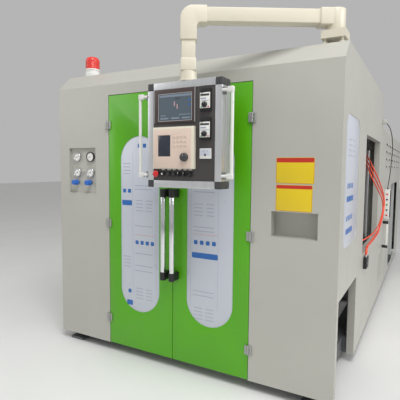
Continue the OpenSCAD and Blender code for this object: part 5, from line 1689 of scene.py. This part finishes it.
@dataclass
class SideWindow:
    """Pane of the right wall under pale film with plain print.

    Attributes:
        low: Lowest corner of the opening, as y and z.
        high: Highest corner of the opening.
        radius: Radius of its corners.
        inner: Inner face of the wall.
        rim: How far the pane reaches past the opening.
        thick: Thickness of the pane.
    """

    low: Span = (-2.6695, 0.985)
    high: Span = (-2.1445, 1.835)
    radius: float = 0.090
    inner: float = WALL - 0.003
    rim: float = 0.018
    thick: float = 0.005

    def fields(self) -> list[tuple[float, float, Span, Finish]]:
        """Lays out the print.

        Returns:
            Distance from the middle, height, size and finish of each field.
        """
        made = []
        for z in (1.090, 1.300):
            made.append((-0.045, z, (0.250, 0.036), FILM_BLUE))
            made += [(0.060 * k - 0.140, z + 0.085, (0.036, 0.034), FILM_BLUE) for k in range(4)]
        for k in range(4):
            z = 1.680 - 0.034 * k
            made.append((-0.100, z, (0.120, 0.006), FILM_GREY))
            made.append((0.060, z, (0.110, 0.006), FILM_GREY))
        return made + [(y, 1.410, (0.002, 0.80), FILM_GREY) for y in (-0.215, 0.175)]

    def build(self) -> None:
        """Builds the pane with its film and its print."""
        rim, (y0, z0), (y1, z1) = self.rim, self.low, self.high
        piece = Piece("side_pane", "frame", ("side_window",))
        piece.add(FILM, plate((self.inner - self.thick, y0 - rim, z0 - rim),
                              (self.inner, y1 + rim, z1 + rim), self.radius, 0.0008, 0, 14))
        for y, z, size, finish in self.fields():
            place = (self.inner + 0.0001, (y0 + y1) / 2 + y, z)
            piece.add(finish, mark(place, size, 0.0003, 0))
        piece.close()


@dataclass
class BlankPlates:
    """Two blank yellow plates with a red band, on the right front panel.

    Attributes:
        places: Left, lower, right and upper edge of each plate, and height of its band.
        rim: Yellow edge outside the thin border.
        line: Width of the border.
    """

    places: tuple[tuple[float, float, float, float, float], ...] = (
        (0.757, 1.400, 0.995, 1.560, 0.030), (0.759, 1.228, 0.987, 1.392, 0.024),
    )
    rim: float = 0.002
    line: float = 0.0015

    def build(self) -> None:
        """Builds each plate with its band and its border."""
        piece, rim, line = Piece("blank_plates", "frame"), self.rim, self.line
        for x0, z0, x1, z1, band in self.places:
            piece.add(YELLOW, plate((x0, FACE - 0.0008, z0), (x1, FACE, z1), 0.008, 0.0002))
            piece.add(BAND_RED, plate((x0 + rim, FACE - 0.0011, z1 - band),
                                      (x1 - rim, FACE - 0.0006, z1 - rim), 0.006))
            for low, high in (
                ((x0 + rim, z0 + rim), (x1 - rim, z0 + rim + line)),
                ((x0 + rim, z0 + rim), (x0 + rim + line, z1 - band)),
                ((x1 - rim - line, z0 + rim), (x1 - rim, z1 - band)),
            ):
                piece.add(BAND_RED, plate((low[0], FACE - 0.0010, low[1]),
                                          (high[0], FACE - 0.0006, high[1]), 0.0004, steps=2))
        piece.close()


@dataclass
class SideFittings:
    """Button box, small lamps and pull bar on the right side.

    Attributes:
        near: Front of the box.
        foot: Height of its foot.
        size: Its width, length and height.
        pull: Lower and upper end of the pull bar.
        lamps: Colours of its lamps, from the lowest.
        pitch: Distance between two lamps.
    """

    near: float = 0.0
    foot: float = 0.905
    size: Point = (0.059, 0.150, 0.350)
    pull: Span = (0.572, 0.888)
    lamps: tuple[Finish, ...] = (RED, BLACK, GREEN_LAMP, BLACK, RED)
    pitch: float = 0.062

    def build(self) -> None:
        """Builds the box with its lamps, the bar between two brackets, and the gland."""
        near, foot, edge = self.near, self.foot, 0.006
        wide, length, tall = self.size
        low, high = self.pull
        piece = Piece("side_box", "frame", ("side_controls",)).add(
            WHITE_PAINT,
            box((WALL, near, foot), (WALL + wide, near + length, foot + tall), edge, 4),
            box((WALL + wide - 0.004, near + edge, foot + edge),
                (WALL + wide, near + length - edge, foot + tall - edge), 0.002),
        )
        for k, finish in enumerate(self.lamps):
            piece.add(finish, turned((WALL + wide / 2, near, foot + 0.045 + self.pitch * k), [
                (0.0105, 0.0), (0.0105, 0.002), (0.0085, 0.0026), (0.0080, 0.0054),
                (0.0060, 0.0068), (0.0, 0.0069),
            ]))
        x, y = WALL + wide - 0.015, near - 0.057
        piece.add(WHITE_PAINT, rod((x, y, (low + high) / 2), 0.0138, high - low - 0.004, Axis.Z,
                                   0.002, 48))
        for z in (low, high - 0.032):
            piece.add(BLACK, box((WALL, y - 0.016, z), (x + 0.016, y + 0.016, z + 0.032),
                                 0.004, 3))
        piece.add(BLACK, turned((WALL + 0.030, near + 0.040, foot + tall), [
            (0.0088, 0.0), (0.0088, 0.010), (0.0068, 0.014), (0.0060, 0.0198),
        ], Axis.Z, 24))
        piece.close()


@dataclass
class Ports:
    """Port block under the hose opening, stub on its lower fold, manifold and cable gland.

    Attributes:
        top: Top of the port block.
        outlets: Places of its two outlets.
        stub: Place of the stub.
        manifold: Lower corner of the manifold behind the opening.
        manifold_top: Top of the manifold.
    """

    top: float = 0.760
    outlets: tuple[Span, ...] = ((1.164, -1.588), (1.164, -1.648))
    stub: Point = (1.116, -1.730, 0.800)
    manifold: Point = (1.010, -0.900, 0.190)
    manifold_top: float = 1.680

    @staticmethod
    def ferrule(place: Point, height: float) -> Solid:
        """Makes the ferrule that a hose runs into.

        Args:
            place: Middle of its foot.
            height: Its height.

        Returns:
            The ferrule, unpainted.
        """
        return turned(place, [
            (0.0100, 0.0), (0.0100, height * 0.45), (0.0086, height * 0.55),
            (0.0086, height - 0.0022), (0.0076, height - 0.0006),
        ], Axis.Z)

    def build(self) -> None:
        """Builds the block with its outlets, the stub, the manifold and the gland."""
        piece = Piece("side_ports", "frame", ("wall_fittings",)).add(BLACK, box(
            (WALL, -1.688, self.top - 0.095), (WALL + 0.028, -1.558, self.top), 0.003, 3
        ))
        for x, y in self.outlets:
            piece.add(STEEL, self.ferrule((x, y, self.top), 0.015))
            piece.add(STEEL, rod((WALL + 0.0278, y, self.top - 0.055), 0.006, 0.0030, Axis.X,
                                 0.0005))
        piece.add(STEEL, self.ferrule(self.stub, 0.025))
        x, y, z = self.manifold
        piece.add(STEEL, box((x, y, z), (x + 0.060, y + 0.060, self.manifold_top), 0.003, 3))
        piece.add(BODY_PAINT, box((WALL, -0.615, 1.963), (WALL + 0.038, -0.575, 2.007), 0.004, 3))
        piece.add(BLACK, turned((WALL + 0.022, -0.560, 1.985), [
            (0.0064, 0.0), (0.0072, 0.0040), (0.0088, 0.0060), (0.0088, 0.0150),
        ], sides=24))
        piece.close()


def main() -> None:
    """Builds the scene piece by piece."""
    logging.basicConfig(level=logging.INFO, format="%(name)s %(message)s")
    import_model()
    view = View()
    view.camera()
    for cord in CORDS:
        cord.build()
    Housing().build()
    Moulder().build()
    for door in DOORS:
        door.build()
    FixedHinges().build()
    Instruments().build()
    RoofLamp().build()
    Pendant().build()
    Arm().build()
    SideWindow().build()
    BlankPlates().build()
    SideFittings().build()
    Ports().build()
    view.studio()


if __name__ == "__main__":
    main()
